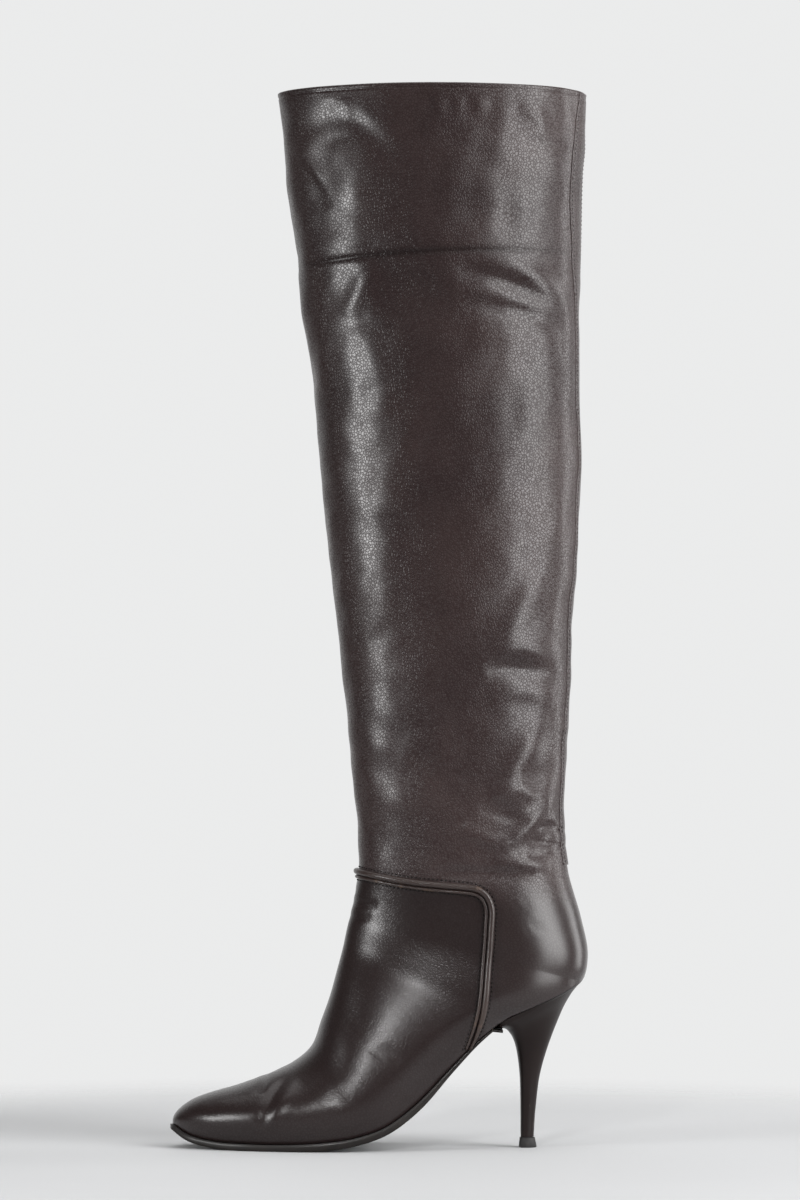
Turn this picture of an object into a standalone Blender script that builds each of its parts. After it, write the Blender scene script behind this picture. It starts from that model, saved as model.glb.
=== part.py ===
"""A left boot that reaches over the knee: a hollow leather upper, a thin sole and a slender covered heel.

Metres, +Z up. The toe points to -X, the outer side of the foot to -Y, and the boot stands on z = 0.
Sizes are written in millimetres, and become metres where a mesh is finished.
"""

import math
from collections import namedtuple

import bmesh
import bpy
import numpy as np
from mathutils import Vector
from mathutils.bvhtree import BVHTree

MM = 0.001
GAP = 0.3  # between pieces that touch

# Upper: wall of leather and lining, and how finely its sections are faceted
WALL = 1.8
SIDE_COLUMNS = 18
SKIN_WELD = 1e-4
NORMAL_STEP = 0.5

# Last: the ends of its lower face, and the length over which each is rounded
TOE_TIP_X = -111.4
TOE_ROUNDING = 12.0
SEAT_BACK_X = 109.6
SEAT_ROUNDING = 36.0
SEAT_TILT = math.radians(26.5)

# The last's lower face from toe to heel: its height, its middle line and its half width before the
# ends are rounded. A middle line above 0 swings to the inner side of the foot.
Bottom = namedtuple("Bottom", "x z centre half")
LAST_BOTTOM = (
    Bottom(TOE_TIP_X, 12.6, 5.0, 9.0),
    Bottom(-103.0, 8.0, 4.8, 14.0),
    Bottom(-89.0, 4.9, 4.0, 21.5),
    Bottom(-70.0, 4.0, 3.2, 30.0),
    Bottom(-50.0, 4.0, 2.2, 35.0),
    Bottom(-30.0, 5.2, 0.8, 37.0),
    Bottom(-12.0, 7.9, -0.5, 36.0),
    Bottom(4.0, 13.6, -1.5, 33.0),
    Bottom(20.0, 25.4, -2.5, 27.5),
    Bottom(38.0, 44.0, -2.5, 23.5),
    Bottom(54.0, 59.6, -1.0, 24.0),
    Bottom(66.0, 68.9, 0.0, 26.0),
    Bottom(80.0, 75.6, 0.0, 27.0),
    Bottom(95.0, 82.2, 0.0, 27.5),
    Bottom(SEAT_BACK_X, 89.6, 0.0, 27.5),
)

# Sections of the upper. Each lies in a plane through a front point and a back point of the side
# outline: level at the collar, fanned round the ankle, and nearly upright at the toe. half is the half
# width at the widest place, which lies at that share of the way from front to back. A power of 2 is an
# ellipse, less is more pointed and more is squarer. steps counts the mesh rows to the next section.
Leg = namedtuple("Leg", "front_x front_z back_x back_z half widest front_power back_power steps")
LEG_SECTIONS = (
    Leg(-55.0, 569.0, 111.3, 569.0, 52.0, 0.50, 1.80, 2.0, 1),
    Leg(-51.9, 545.0, 110.7, 545.0, 51.5, 0.50, 1.85, 2.0, 1),
    Leg(-47.4, 500.0, 108.6, 500.0, 50.5, 0.50, 1.90, 2.0, 1),
    Leg(-41.0, 450.0, 107.8, 450.0, 49.0, 0.50, 1.95, 2.0, 1),
    Leg(-36.2, 414.0, 107.2, 414.0, 47.8, 0.50, 2.00, 2.0, 1),
    Leg(-31.4, 365.0, 108.5, 365.0, 46.0, 0.50, 2.00, 2.0, 1),
    Leg(-27.5, 327.0, 107.0, 327.0, 44.5, 0.50, 2.00, 2.0, 1),
    Leg(-22.8, 284.0, 103.5, 284.0, 42.5, 0.50, 2.00, 2.0, 1),
    Leg(-18.4, 241.0, 102.0, 241.0, 40.0, 0.50, 2.00, 2.0, 1),
    Leg(-14.0, 198.0, 99.9, 198.0, 37.5, 0.50, 2.05, 2.05, 2),
    Leg(-11.4, 172.0, 99.5, 171.0, 35.8, 0.50, 2.05, 2.05, 2),
    Leg(-11.0, 151.0, 102.2, 147.0, 34.5, 0.53, 2.10, 2.05, 2),
    Leg(-12.6, 140.0, 109.0, 124.0, 33.5, 0.58, 2.10, 2.05, 3),
    Leg(-14.2, 132.0, 112.6, 102.0, 33.0, 0.63, 2.10, 2.05, 2),
    Leg(-15.6, 125.0, SEAT_BACK_X, 89.6, 32.5, 0.66, 2.10, 2.05, 6),
)
Foot = namedtuple("Foot", "front_x front_z back_x half widest steps")
FOOT_SECTIONS = (
    Foot(-17.6, 116.5, 86.0, 33.0, 0.78, 2),
    Foot(-19.6, 107.0, 66.0, 33.2, 0.80, 2),
    Foot(-22.5, 96.0, 50.0, 33.6, 0.74, 2),
    Foot(-26.5, 81.5, 34.0, 34.8, 0.70, 2),
    Foot(-31.0, 69.0, 18.0, 37.5, 0.68, 2),
    Foot(-36.5, 54.6, 2.0, 40.0, 0.68, 2),
    Foot(-47.0, 45.6, -16.0, 41.0, 0.70, 2),
    Foot(-61.0, 39.4, -36.0, 40.0, 0.70, 2),
    Foot(-76.0, 33.6, -57.0, 36.5, 0.68, 2),
    Foot(-90.5, 29.4, -77.0, 29.5, 0.66, 2),
    Foot(-100.5, 25.6, -92.0, 22.5, 0.62, 2),
    Foot(-106.8, 21.4, -102.3, 15.6, 0.60, 2),
    Foot(-110.0, 18.0, -108.0, 9.6, 0.60, 1),
    Foot(-111.2, 15.2, -110.7, 4.6, 0.60, 1),
    Foot(TOE_TIP_X, 12.6, TOE_TIP_X, 0.0, 0.60, 1),
)
MOST_EDGE = 0.97  # the feather edge stays this much inside the widest place
FOOT_FRONT_POWER, FOOT_BACK_POWER = 2.1, 2.05
SEAT_EASE = 2.0  # crowds the mesh rows towards the back of the seat, where its outline turns fastest

# Insole
INSOLE_THICKNESS = 2.0
INSOLE_MARGIN = WALL + 2 * GAP  # from the feather edge
INSOLE_FRONT_X, INSOLE_BACK_X = TOE_TIP_X + 3.2, SEAT_BACK_X - 2.6
INSOLE_STATIONS, INSOLE_COLUMNS = 46, 4

# Outsole: thickness, and how far its edge stands out beyond the feather edge
Sole = namedtuple("Sole", "x thickness overhang")
OUTSOLE_TABLE = (
    Sole(-113.0, 2.4, 1.2),
    Sole(-100.0, 3.4, 1.3),
    Sole(-80.0, 4.0, 1.4),
    Sole(0.0, 4.0, 1.4),
    Sole(22.0, 3.6, 1.0),
    Sole(40.0, 2.4, 0.2),
    Sole(54.0, 1.6, -0.4),
    Sole(67.0, 1.2, -1.5),
)
SOLE_LEAVES_LAST_X = 57.0  # behind this the sole runs flat and ends against the breast of the heel
SOLE_END_X, SOLE_END_Z = 66.4, 63.9
SOLE_EDGE_INSET = 0.8  # the lower edge is rounded in by this much
SOLE_MOST_INSET = 0.5  # and at the tip by at most this share of the half width
SOLE_STATIONS, SOLE_COLUMNS = 44, 6

# Heel: sections from the seat down, each through a breast point and a back point
Ring = namedtuple("Ring", "front_x front_z back_x back_z half front_power")
HEEL_RINGS = (
    Ring(62.0, 65.6, 108.9, 89.0, 26.8, 5.0),
    Ring(62.4, 64.6, 106.9, 87.0, 25.8, 5.0),
    Ring(67.2, 64.4, 104.2, 83.6, 23.2, 4.5),
    Ring(70.2, 61.8, 100.0, 76.6, 18.6, 4.0),
    Ring(72.2, 58.4, 95.8, 67.0, 14.4, 3.6),
    Ring(73.8, 53.4, 91.6, 56.0, 11.0, 3.3),
    Ring(75.0, 46.4, 88.6, 46.6, 8.6, 3.0),
    Ring(75.8, 38.0, 86.4, 37.6, 6.8, 3.0),
    Ring(76.1, 28.0, 85.1, 28.0, 5.6, 3.0),
    Ring(76.2, 17.0, 84.0, 17.0, 4.8, 3.0),
    Ring(76.2, 5.7, 83.3, 5.7, 4.4, 3.0),
)
TOP_LIFT_RINGS = (
    Ring(75.8, 5.4, 83.9, 5.4, 4.7, 3.0),
    Ring(75.3, 0.6, 84.9, 0.6, 5.1, 3.0),
    Ring(75.6, 0.0, 84.6, 0.0, 4.8, 3.0),
)
RING_WIDEST, RING_BACK_POWER, RING_COLUMNS = 0.34, 2.05, 14

# Piping round the vamp: a route of x and z seen from the side, back from the front and down to the sole,
# and a profile of a wide and a thin cord. In the profile, the first value is measured across the route,
# towards the leg, and the second is the height off the upper's face.
PIPING_TOP_RUN = ((-11.4, 147.0), (15.0, 142.3), (47.0, 139.2))
PIPING_LEG = (
    (47.0, 139.2),
    (54.5, 137.6),
    (58.2, 132.0),
    (58.4, 120.0),
    (56.8, 98.0),
    (54.6, 76.0),
    (48.9, 58.0),
)
PIPING_TOP_STATIONS, PIPING_LEG_STATIONS = 17, 24
PIPING_PROFILE = (
    (3.2, 0.0),
    (3.1, 1.2),
    (1.6, 2.2),
    (0.1, 1.6),
    (-0.5, 0.9),
    (-1.5, 1.5),
    (-2.6, 1.0),
    (-2.8, 0.0),
    (0.2, 0.0),
)
PIPING_LIFT = 0.5  # clears the edges between the upper's facets
RAY_START = 200.0  # outside the boot, where lines that look for its face begin

# Back stay: a strip over the back seam, from collar to counter. centre is where its middle runs.
Stay = namedtuple("Stay", "z centre")
STAY_LINE = (
    Stay(150.0, 0.0),
    Stay(300.0, 0.0),
    Stay(400.0, 0.5),
    Stay(440.0, 1.0),
    Stay(480.0, -5.5),
    Stay(530.0, -10.0),
    Stay(569.0, -3.5),
)
STAY_WIDTH, STAY_THICKNESS, STAY_COLUMNS = 20.0, 1.0, 4
STAY_LIFT = 0.35  # off the upper's face
STAY_FOOT_Z = 152.0

# Finishes, and the angle between faces above which an edge is drawn sharp
SHARP_ANGLE = math.radians(40)
Finish = namedtuple("Finish", "colour roughness")
BROWN_LEATHER = Finish((0.040, 0.026, 0.023), 0.36)
PIPING_LEATHER = Finish((0.046, 0.031, 0.026), 0.30)
HEEL_COVER = Finish((0.030, 0.024, 0.023), 0.28)
SOLE_LEATHER = Finish((0.020, 0.017, 0.016), 0.50)
LIFT_RUBBER = Finish((0.022, 0.020, 0.020), 0.60)
LINING_LEATHER = Finish((0.260, 0.190, 0.140), 0.65)


def through(knots, rows, at):
    """The row at one place on a smooth curve through a table's rows."""
    slopes = np.gradient(rows, knots, axis=0)
    i = int(np.clip(np.searchsorted(knots, at) - 1, 0, len(knots) - 2))
    span = knots[i + 1] - knots[i]
    f = (at - knots[i]) / span
    rise = f * f * (3 - 2 * f)
    leave, arrive = f * (1 - f) ** 2, f * f * (f - 1)
    return rows[i] * (1 - rise) + rows[i + 1] * rise + span * (slopes[i] * leave + slopes[i + 1] * arrive)


def read(table, at):
    """The other columns of a table whose first column is the place, at one place."""
    rows = np.array(table, float)
    return through(rows[:, 0], rows[:, 1:], at)


def bottom(x, grow=0.0):
    """Height, middle line and half width of the last's lower face, with its outline grown by grow."""
    z, centre, half = read(LAST_BOTTOM, min(max(x, TOE_TIP_X), SEAT_BACK_X))
    half += grow
    heel_run = (SEAT_BACK_X - x) / math.cos(SEAT_TILT) + grow
    toe_run = x - TOE_TIP_X + grow
    for run, rounding in ((heel_run, SEAT_ROUNDING + grow), (toe_run, TOE_ROUNDING + grow)):
        if run < rounding:
            half *= math.sqrt(max(0.0, 1 - (1 - run / rounding) ** 2))
    return z, centre, half


def bottom_level(x):
    """Height of the last's lower face."""
    return bottom(x)[0]


def upward(level, x):
    """The upward normal of a face whose height is level(x)."""
    rise = (level(x + NORMAL_STEP) - level(x - NORMAL_STEP)) / (2 * NORMAL_STEP)
    return Vector((-rise, 0, 1)).normalized()


def section_table():
    """All sections of the upper as one table of equal columns, with the mesh steps after each."""
    rows = [[s.front_x, s.front_z, s.back_x, s.back_z, s.half, s.widest, s.front_power, s.back_power]
            for s in LEG_SECTIONS]
    rows += [[s.front_x, s.front_z, s.back_x, bottom(s.back_x)[0], s.half, s.widest,
              FOOT_FRONT_POWER, FOOT_BACK_POWER] for s in FOOT_SECTIONS]
    return np.array(rows), [s.steps for s in LEG_SECTIONS + FOOT_SECTIONS]


def section_rows():
    """(section, is it in the foot) for each mesh row of the upper, from the collar to the toe tip."""
    table, steps = section_table()
    moves = np.diff(table[:, :4], axis=0)
    lengths = (np.hypot(moves[:, 0], moves[:, 1]) + np.hypot(moves[:, 2], moves[:, 3])) / 2
    knots = np.concatenate([[0.0], np.cumsum(lengths)])
    seat = len(LEG_SECTIONS) - 1
    rows = []
    for i, length in enumerate(lengths):
        ease = SEAT_EASE if i == seat else 1.0
        for k in range(steps[i]):
            row = through(knots, table, knots[i] + length * (k / steps[i]) ** ease)
            rows.append((row, i >= seat))
    return rows + [(table[-1], True)]


def half_section(turn, half, edge, widest, front_power, back_power):
    """(share of the way from front to back, distance out) at a turn from 0, the front, to pi, the back.

    The back part is an oval that is cut off where it has narrowed to edge.
    """
    if turn <= math.pi / 2:
        power = 2 / front_power
        return widest * (1 - math.cos(turn) ** power), half * math.sin(turn) ** power
    power = 2 / back_power
    cut = math.acos((edge / half) ** (1 / power)) if half else math.pi / 2
    past = cut * (2 * turn / math.pi - 1)
    along = widest + (1 - widest) * (math.sin(past) / math.sin(cut)) ** power
    return along, half * max(0.0, math.cos(past)) ** power


def section_points(section, in_foot):
    """One section of the upper, from its outer edge over the front to its inner edge."""
    front_x, front_z, back_x, back_z, half, widest, front_power, back_power = section
    centre = edge = 0.0
    if in_foot:
        back_z, centre, edge = bottom(back_x)
    edge = min(edge, half * MOST_EDGE)
    points = []
    for column in range(-SIDE_COLUMNS, SIDE_COLUMNS + 1):
        turn = math.pi * abs(column) / SIDE_COLUMNS
        along, out = half_section(turn, half, edge, widest, front_power, back_power)
        x = front_x + (back_x - front_x) * along
        z = front_z + (back_z - front_z) * along
        points.append(Vector((x, centre + math.copysign(out, column), z)))
    return points


def skin(rows):
    """A sheet of faces over rows of points, with points that coincide made one."""
    bm = bmesh.new()
    grid = [[bm.verts.new(p) for p in row] for row in rows]
    for one, two in zip(grid, grid[1:]):
        for a, b, c, d in zip(one, one[1:], two[1:], two):
            bm.faces.new((a, b, c, d))
    bmesh.ops.remove_doubles(bm, verts=bm.verts, dist=SKIN_WELD)
    bmesh.ops.dissolve_degenerate(bm, edges=bm.edges, dist=SKIN_WELD)
    bm.normal_update()
    bm.verts.index_update()
    return bm


def thicken(bm, twin):
    """Closes a sheet into a solid. twin gives the point behind each vertex of the sheet."""
    behind = {v: twin(v) for v in bm.verts}
    faces = list(bm.faces)
    borders = [loop for edge in bm.edges if edge.is_boundary for loop in edge.link_loops]
    borders = [(loop.vert, loop.link_loop_next.vert) for loop in borders]
    back = {v: bm.verts.new(place) for v, place in behind.items()}
    for face in faces:
        bm.faces.new([back[v] for v in reversed(face.verts)])
    for a, b in borders:
        bm.faces.new((b, a, back[a], back[b]))
    return bm


def loft(rings, ladder_caps):
    """A solid through rings of points. A ladder cap joins the points that lie across from each other."""
    bm = bmesh.new()
    made = [[bm.verts.new(p) for p in ring] for ring in rings]
    count = len(made[0])
    for one, two in zip(made, made[1:]):
        for k in range(count):
            after = (k + 1) % count
            bm.faces.new((one[k], one[after], two[after], two[k]))
    for ring in (made[0][::-1], made[-1]):
        if not ladder_caps:
            bm.faces.new(ring)
            continue
        turned = ring if ring is made[-1] else ring[-1:] + ring[:-1]
        for k in range(count // 2):
            corners = (turned[k], turned[k + 1], turned[count - k - 1], turned[-k])
            bm.faces.new(tuple(dict.fromkeys(corners)))
    bm.normal_update()
    return bm


def finish(name, bm, look):
    """Makes a named object, in metres, from a solid that was modelled in millimetres."""
    bmesh.ops.scale(bm, vec=(MM, MM, MM), verts=bm.verts)
    bmesh.ops.recalc_face_normals(bm, faces=bm.faces)
    mesh = bpy.data.meshes.new(name)
    bm.to_mesh(mesh)
    bm.free()
    mesh.shade_smooth()
    mesh.set_sharp_from_angle(angle=SHARP_ANGLE)
    material = bpy.data.materials.new(name)
    material.use_nodes = True
    shader = material.node_tree.nodes["Principled BSDF"]
    shader.inputs["Base Color"].default_value = (*look.colour, 1)
    shader.inputs["Roughness"].default_value = look.roughness
    mesh.materials.append(material)
    obj = bpy.data.objects.new(name, mesh)
    bpy.context.scene.collection.objects.link(obj)


def upper_skin():
    """The outer face of the upper."""
    return skin([section_points(section, in_foot) for section, in_foot in section_rows()])


def make_upper():
    """One hollow wall from toe to collar, open at the collar and underneath, inside the feather edge."""
    collar_z = LEG_SECTIONS[0].front_z

    def inside(vertex):
        normal = vertex.normal.copy()
        if vertex.is_boundary:  # a cut edge stays in the plane that it was cut in
            level = Vector((0, 0, 1)) if vertex.co.z > collar_z - GAP else upward(bottom_level, vertex.co.x)
            normal = (normal - level * normal.dot(level)).normalized()
        return vertex.co - normal * WALL

    finish("upper", thicken(upper_skin(), inside), BROWN_LEATHER)


def plate_rows(stations, columns, level, grow):
    """Rows of points across the last's lower face: level gives each row's height, grow its margin."""
    rows = []
    for x in stations:
        _, centre, half = bottom(x, grow(x))
        across = [centre + half * (2 * k / columns - 1) for k in range(columns + 1)]
        rows.append([Vector((x, y, level(x))) for y in across])
    return rows


def spread(first, last, count):
    """Places from first to last that crowd towards both ends, where an outline is round."""
    turns = (math.pi * k / (count - 1) for k in range(count))
    return [first + (last - first) * (1 - math.cos(turn)) / 2 for turn in turns]


def make_insole():
    """The board that the upper is lasted to, inside its wall and on the sole and the heel."""
    stations = spread(INSOLE_BACK_X, INSOLE_FRONT_X, INSOLE_STATIONS)
    rows = plate_rows(stations, INSOLE_COLUMNS, bottom_level, lambda x: -INSOLE_MARGIN)

    def above(vertex):
        return vertex.co + upward(bottom_level, vertex.co.x) * INSOLE_THICKNESS

    finish("insole", thicken(skin(rows), above), LINING_LEATHER)


def sole_level(x):
    """Height of the outsole's upper face."""
    last_x = min(x, SOLE_LEAVES_LAST_X)
    z = bottom_level(last_x) - GAP
    share = (x - last_x) / (SOLE_END_X - SOLE_LEAVES_LAST_X)
    return z + (SOLE_END_Z - z) * share


def make_outsole():
    """A thin sole, flat under the ball, with toe spring, and pared away towards the heel."""
    def overhang(x):
        return read(OUTSOLE_TABLE, x)[1]

    tip = TOE_TIP_X - overhang(TOE_TIP_X)
    rows = plate_rows(spread(SOLE_END_X, tip, SOLE_STATIONS), SOLE_COLUMNS, sole_level, overhang)

    def below(vertex):
        x, y, _ = vertex.co
        thickness = read(OUTSOLE_TABLE, x)[0]
        down = vertex.co - upward(sole_level, x) * thickness
        middle, half = bottom(x, overhang(x))[1:]
        inset = min(SOLE_EDGE_INSET / half, SOLE_MOST_INSET) if half else SOLE_MOST_INSET
        return Vector((down.x, middle + (y - middle) * (1 - inset), max(down.z, 0.0)))

    finish("outsole", thicken(skin(rows), below), SOLE_LEATHER)


def ring_points(ring, level=None):
    """One section of the heel, round from the middle of its breast. level, if given, sets the height."""
    points = []
    for column in range(-RING_COLUMNS, RING_COLUMNS):
        turn = math.pi * abs(column) / RING_COLUMNS
        along, out = half_section(turn, ring.half, 0.0, RING_WIDEST, ring.front_power, RING_BACK_POWER)
        x = ring.front_x + (ring.back_x - ring.front_x) * along
        z = level(x) if level else ring.front_z + (ring.back_z - ring.front_z) * along
        points.append(Vector((x, math.copysign(out, column), z)))
    return points


def make_heel():
    """The covered heel: its top is cupped to the seat, and it narrows to the top lift."""
    seat = ring_points(HEEL_RINGS[0], lambda x: bottom_level(x) - GAP)
    rings = [seat] + [ring_points(ring) for ring in HEEL_RINGS[1:]]
    finish("heel", loft(rings, True), HEEL_COVER)


def make_top_lift():
    """The small flared cap that the heel walks on."""
    finish("top_lift", loft([ring_points(ring) for ring in TOP_LIFT_RINGS], True), LIFT_RUBBER)


def piping_route(side, tree):
    """(place, normal) along one side of the piping, from beside the middle of the front to the sole."""
    front_x, last_x = PIPING_TOP_RUN[0][0], PIPING_TOP_RUN[-1][0]
    flat = []
    for k in range(1, PIPING_TOP_STATIONS):
        x = front_x + (last_x - front_x) * (1 - math.cos(math.pi / 2 * k / PIPING_TOP_STATIONS))
        flat.append((x, float(read(PIPING_TOP_RUN, x)[0])))
    leg = np.array(PIPING_LEG)
    knots = np.concatenate([[0.0], np.cumsum(np.hypot(*np.diff(leg, axis=0).T))])
    flat += [tuple(through(knots, leg, at)) for at in np.linspace(0, knots[-1], PIPING_LEG_STATIONS)]
    hits = [tree.ray_cast(Vector((x, side * RAY_START, z)), Vector((0, -side, 0))) for x, z in flat]
    return [(place, normal) for place, normal, _, _ in hits]


def make_piping():
    """The two cords that edge the vamp, up from the sole, across the front and down to the sole again."""
    bm = upper_skin()
    tree = BVHTree.FromBMesh(bm)
    bm.free()
    front_z = PIPING_TOP_RUN[0][1]
    front = tree.ray_cast(Vector((-RAY_START, 0, front_z)), Vector((1, 0, 0)))[:2]
    route = piping_route(-1, tree)[::-1] + [front] + piping_route(1, tree)
    places = [place for place, _ in route]
    last = len(route) - 1
    rings = []
    for i, place in enumerate(places):
        near = [route[j][1] for j in (i - 1, i, i, i + 1) if 0 <= j <= last]
        normal = sum(near, Vector()).normalized()
        ahead = (places[min(i + 1, last)] - places[max(i - 1, 0)]).normalized()
        across = ahead.cross(normal).normalized()
        feet = [tree.find_nearest(place + across * side)[0] for side, _ in PIPING_PROFILE]
        heights = [height + PIPING_LIFT for _, height in PIPING_PROFILE]
        rings.append([foot + normal * height for foot, height in zip(feet, heights)])
    finish("ankle_piping", loft(rings, False), PIPING_LEATHER)


def stay_row(section):
    """(place, outward normal) across the back stay, on the upper's own section."""
    front_x, front_z, back_x, back_z, half, widest, _, power = section
    depth = (back_x - front_x) * (1 - widest)
    middle_x = back_x - depth
    row = []
    for k in range(STAY_COLUMNS + 1):
        y = float(read(STAY_LINE, back_z)[0]) + STAY_WIDTH * (k / STAY_COLUMNS - 0.5)
        out = abs(y) / half
        deep = (1 - out**power) ** (1 / power)
        normal = Vector((deep ** (power - 1) / depth, math.copysign(out ** (power - 1), y) / half, 0))
        z = back_z + (front_z - back_z) * (1 - widest) * (1 - deep)
        row.append((Vector((middle_x + depth * deep, y, z)), normal.normalized()))
    return row


def make_back_stay():
    """A strip of leather over the back seam, lying on the upper."""
    sections = [s for s, in_foot in section_rows() if not in_foot and s[3] > STAY_FOOT_Z]
    rows = [stay_row(section) for section in sections]
    under = {}
    outer_rows = []
    for row in rows:
        outer_rows.append([place + normal * (STAY_LIFT + STAY_THICKNESS) for place, normal in row])
        for (place, normal), outer in zip(row, outer_rows[-1]):
            under[outer.freeze()] = place + normal * STAY_LIFT
    solid = thicken(skin(outer_rows), lambda vertex: under[vertex.co.copy().freeze()])
    finish("back_stay", solid, BROWN_LEATHER)


def main():
    for obj in list(bpy.data.objects):
        bpy.data.objects.remove(obj)
    make_upper()
    make_insole()
    make_outsole()
    make_heel()
    make_top_lift()
    make_piping()
    make_back_stay()


main()
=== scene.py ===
"""Looks of a left boot that reaches over the knee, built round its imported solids.

Pieces are modelled in millimetres, in the frame of the solids, and become metres where a mesh is made.
The toe points to -X, the outer side of the foot to -Y, and the boot stands on z = 0.
"""

import math
from collections import namedtuple

import bmesh
import bpy
import numpy as np
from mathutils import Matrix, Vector, noise
from mathutils.bvhtree import BVHTree


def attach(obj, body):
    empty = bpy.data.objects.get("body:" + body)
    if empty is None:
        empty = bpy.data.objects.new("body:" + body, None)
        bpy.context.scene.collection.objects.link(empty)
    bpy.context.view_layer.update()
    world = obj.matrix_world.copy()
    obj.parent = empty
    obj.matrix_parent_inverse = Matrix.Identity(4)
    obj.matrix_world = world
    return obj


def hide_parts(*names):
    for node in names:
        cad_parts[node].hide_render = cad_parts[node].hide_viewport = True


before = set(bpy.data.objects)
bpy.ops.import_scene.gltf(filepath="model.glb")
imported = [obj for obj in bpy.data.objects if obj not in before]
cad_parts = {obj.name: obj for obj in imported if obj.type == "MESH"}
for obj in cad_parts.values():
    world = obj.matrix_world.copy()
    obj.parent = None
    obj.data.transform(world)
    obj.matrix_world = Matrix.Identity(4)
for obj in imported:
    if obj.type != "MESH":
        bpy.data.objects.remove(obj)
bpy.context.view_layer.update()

# Upper: calf leather, cut as vamp, counter and leg, sewn together, lined, and pulled over a last.
# The skin follows the sections of the solid, and adds the folds that wear has put into the leather.
# Its top edge is turned in, and its lower edge is turned under, against the sole.
MM = 0.001
TINY = 1e-9
WALL = 1.8

TOE_TIP_X = -111.4
TOE_ROUNDING = 12.0
SEAT_BACK_X = 109.6
SEAT_ROUNDING = 36.0
SEAT_TILT = math.radians(26.5)
Bottom = namedtuple("Bottom", "x z centre half")
LAST_BOTTOM = (
    Bottom(TOE_TIP_X, 12.6, 5.0, 9.0),
    Bottom(-103.0, 8.0, 4.8, 14.0),
    Bottom(-89.0, 4.9, 4.0, 21.5),
    Bottom(-70.0, 4.0, 3.2, 30.0),
    Bottom(-50.0, 4.0, 2.2, 35.0),
    Bottom(-30.0, 5.2, 0.8, 37.0),
    Bottom(-12.0, 7.9, -0.5, 36.0),
    Bottom(4.0, 13.6, -1.5, 33.0),
    Bottom(20.0, 25.4, -2.5, 27.5),
    Bottom(38.0, 44.0, -2.5, 23.5),
    Bottom(54.0, 59.6, -1.0, 24.0),
    Bottom(66.0, 68.9, 0.0, 26.0),
    Bottom(80.0, 75.6, 0.0, 27.0),
    Bottom(95.0, 82.2, 0.0, 27.5),
    Bottom(SEAT_BACK_X, 89.6, 0.0, 27.5),
)
Leg = namedtuple("Leg", "front_x front_z back_x back_z half widest front_power back_power")
LEG_SECTIONS = (
    Leg(-55.0, 569.0, 111.3, 569.0, 52.0, 0.50, 1.80, 2.0),
    Leg(-51.9, 545.0, 110.7, 545.0, 51.5, 0.50, 1.85, 2.0),
    Leg(-47.4, 500.0, 108.6, 500.0, 50.5, 0.50, 1.90, 2.0),
    Leg(-41.0, 450.0, 107.8, 450.0, 49.0, 0.50, 1.95, 2.0),
    Leg(-36.2, 414.0, 107.2, 414.0, 47.8, 0.50, 2.00, 2.0),
    Leg(-31.4, 365.0, 108.5, 365.0, 46.0, 0.50, 2.00, 2.0),
    Leg(-27.5, 327.0, 107.0, 327.0, 44.5, 0.50, 2.00, 2.0),
    Leg(-22.8, 284.0, 103.5, 284.0, 42.5, 0.50, 2.00, 2.0),
    Leg(-18.4, 241.0, 102.0, 241.0, 40.0, 0.50, 2.00, 2.0),
    Leg(-14.0, 198.0, 99.9, 198.0, 37.5, 0.50, 2.05, 2.05),
    Leg(-11.4, 172.0, 99.5, 171.0, 35.8, 0.50, 2.05, 2.05),
    Leg(-11.0, 151.0, 102.2, 147.0, 34.5, 0.53, 2.10, 2.05),
    Leg(-12.6, 140.0, 109.0, 124.0, 33.5, 0.58, 2.10, 2.05),
    Leg(-14.2, 132.0, 112.6, 102.0, 33.0, 0.63, 2.10, 2.05),
    Leg(-15.6, 125.0, SEAT_BACK_X, 89.6, 32.5, 0.66, 2.10, 2.05),
)
Foot = namedtuple("Foot", "front_x front_z back_x half widest")
FOOT_SECTIONS = (
    Foot(-17.6, 116.5, 86.0, 33.0, 0.78),
    Foot(-19.6, 107.0, 66.0, 33.2, 0.80),
    Foot(-22.5, 96.0, 50.0, 33.6, 0.74),
    Foot(-26.5, 81.5, 34.0, 34.8, 0.70),
    Foot(-31.0, 69.0, 18.0, 37.5, 0.68),
    Foot(-36.5, 54.6, 2.0, 40.0, 0.68),
    Foot(-47.0, 45.6, -16.0, 41.0, 0.70),
    Foot(-61.0, 39.4, -36.0, 40.0, 0.70),
    Foot(-76.0, 33.6, -57.0, 36.5, 0.68),
    Foot(-90.5, 29.4, -77.0, 29.5, 0.66),
    Foot(-100.5, 25.6, -92.0, 22.5, 0.62),
    Foot(-106.8, 21.4, -102.3, 15.6, 0.60),
    Foot(-110.0, 18.0, -108.0, 9.6, 0.60),
    Foot(-111.2, 15.2, -110.7, 4.6, 0.60),
    Foot(TOE_TIP_X, 12.6, TOE_TIP_X, 0.0, 0.60),
)
MOST_EDGE = 0.97
FOOT_FRONT_POWER, FOOT_BACK_POWER = 2.1, 2.05
SEAT_EASE = 2.0
COLLAR_Z = LEG_SECTIONS[0].front_z

ROW_STEP, FEWEST_ROWS = 2.2, 3
KNEE_LOW_Z, KNEE_HIGH_Z, KNEE_STEP = 466.0, 503.0, 0.9
ANKLE_LOW_Z, ANKLE_HIGH_Z, ANKLE_STEP = 146.0, 178.0, 1.1
SIDE_COLUMNS = 112
RIM_RADIUS = WALL / 2
RIM_ROWS = 7
TURNED_IN, TURNED_IN_SHARES = 6.6, (1.0, 0.5, 0.0)
FINE_COLLAR, FINE_STEP = 8.0, 0.45
TURNED_UNDER, MOST_UNDER_SHARE = 2.0, 0.4

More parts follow.
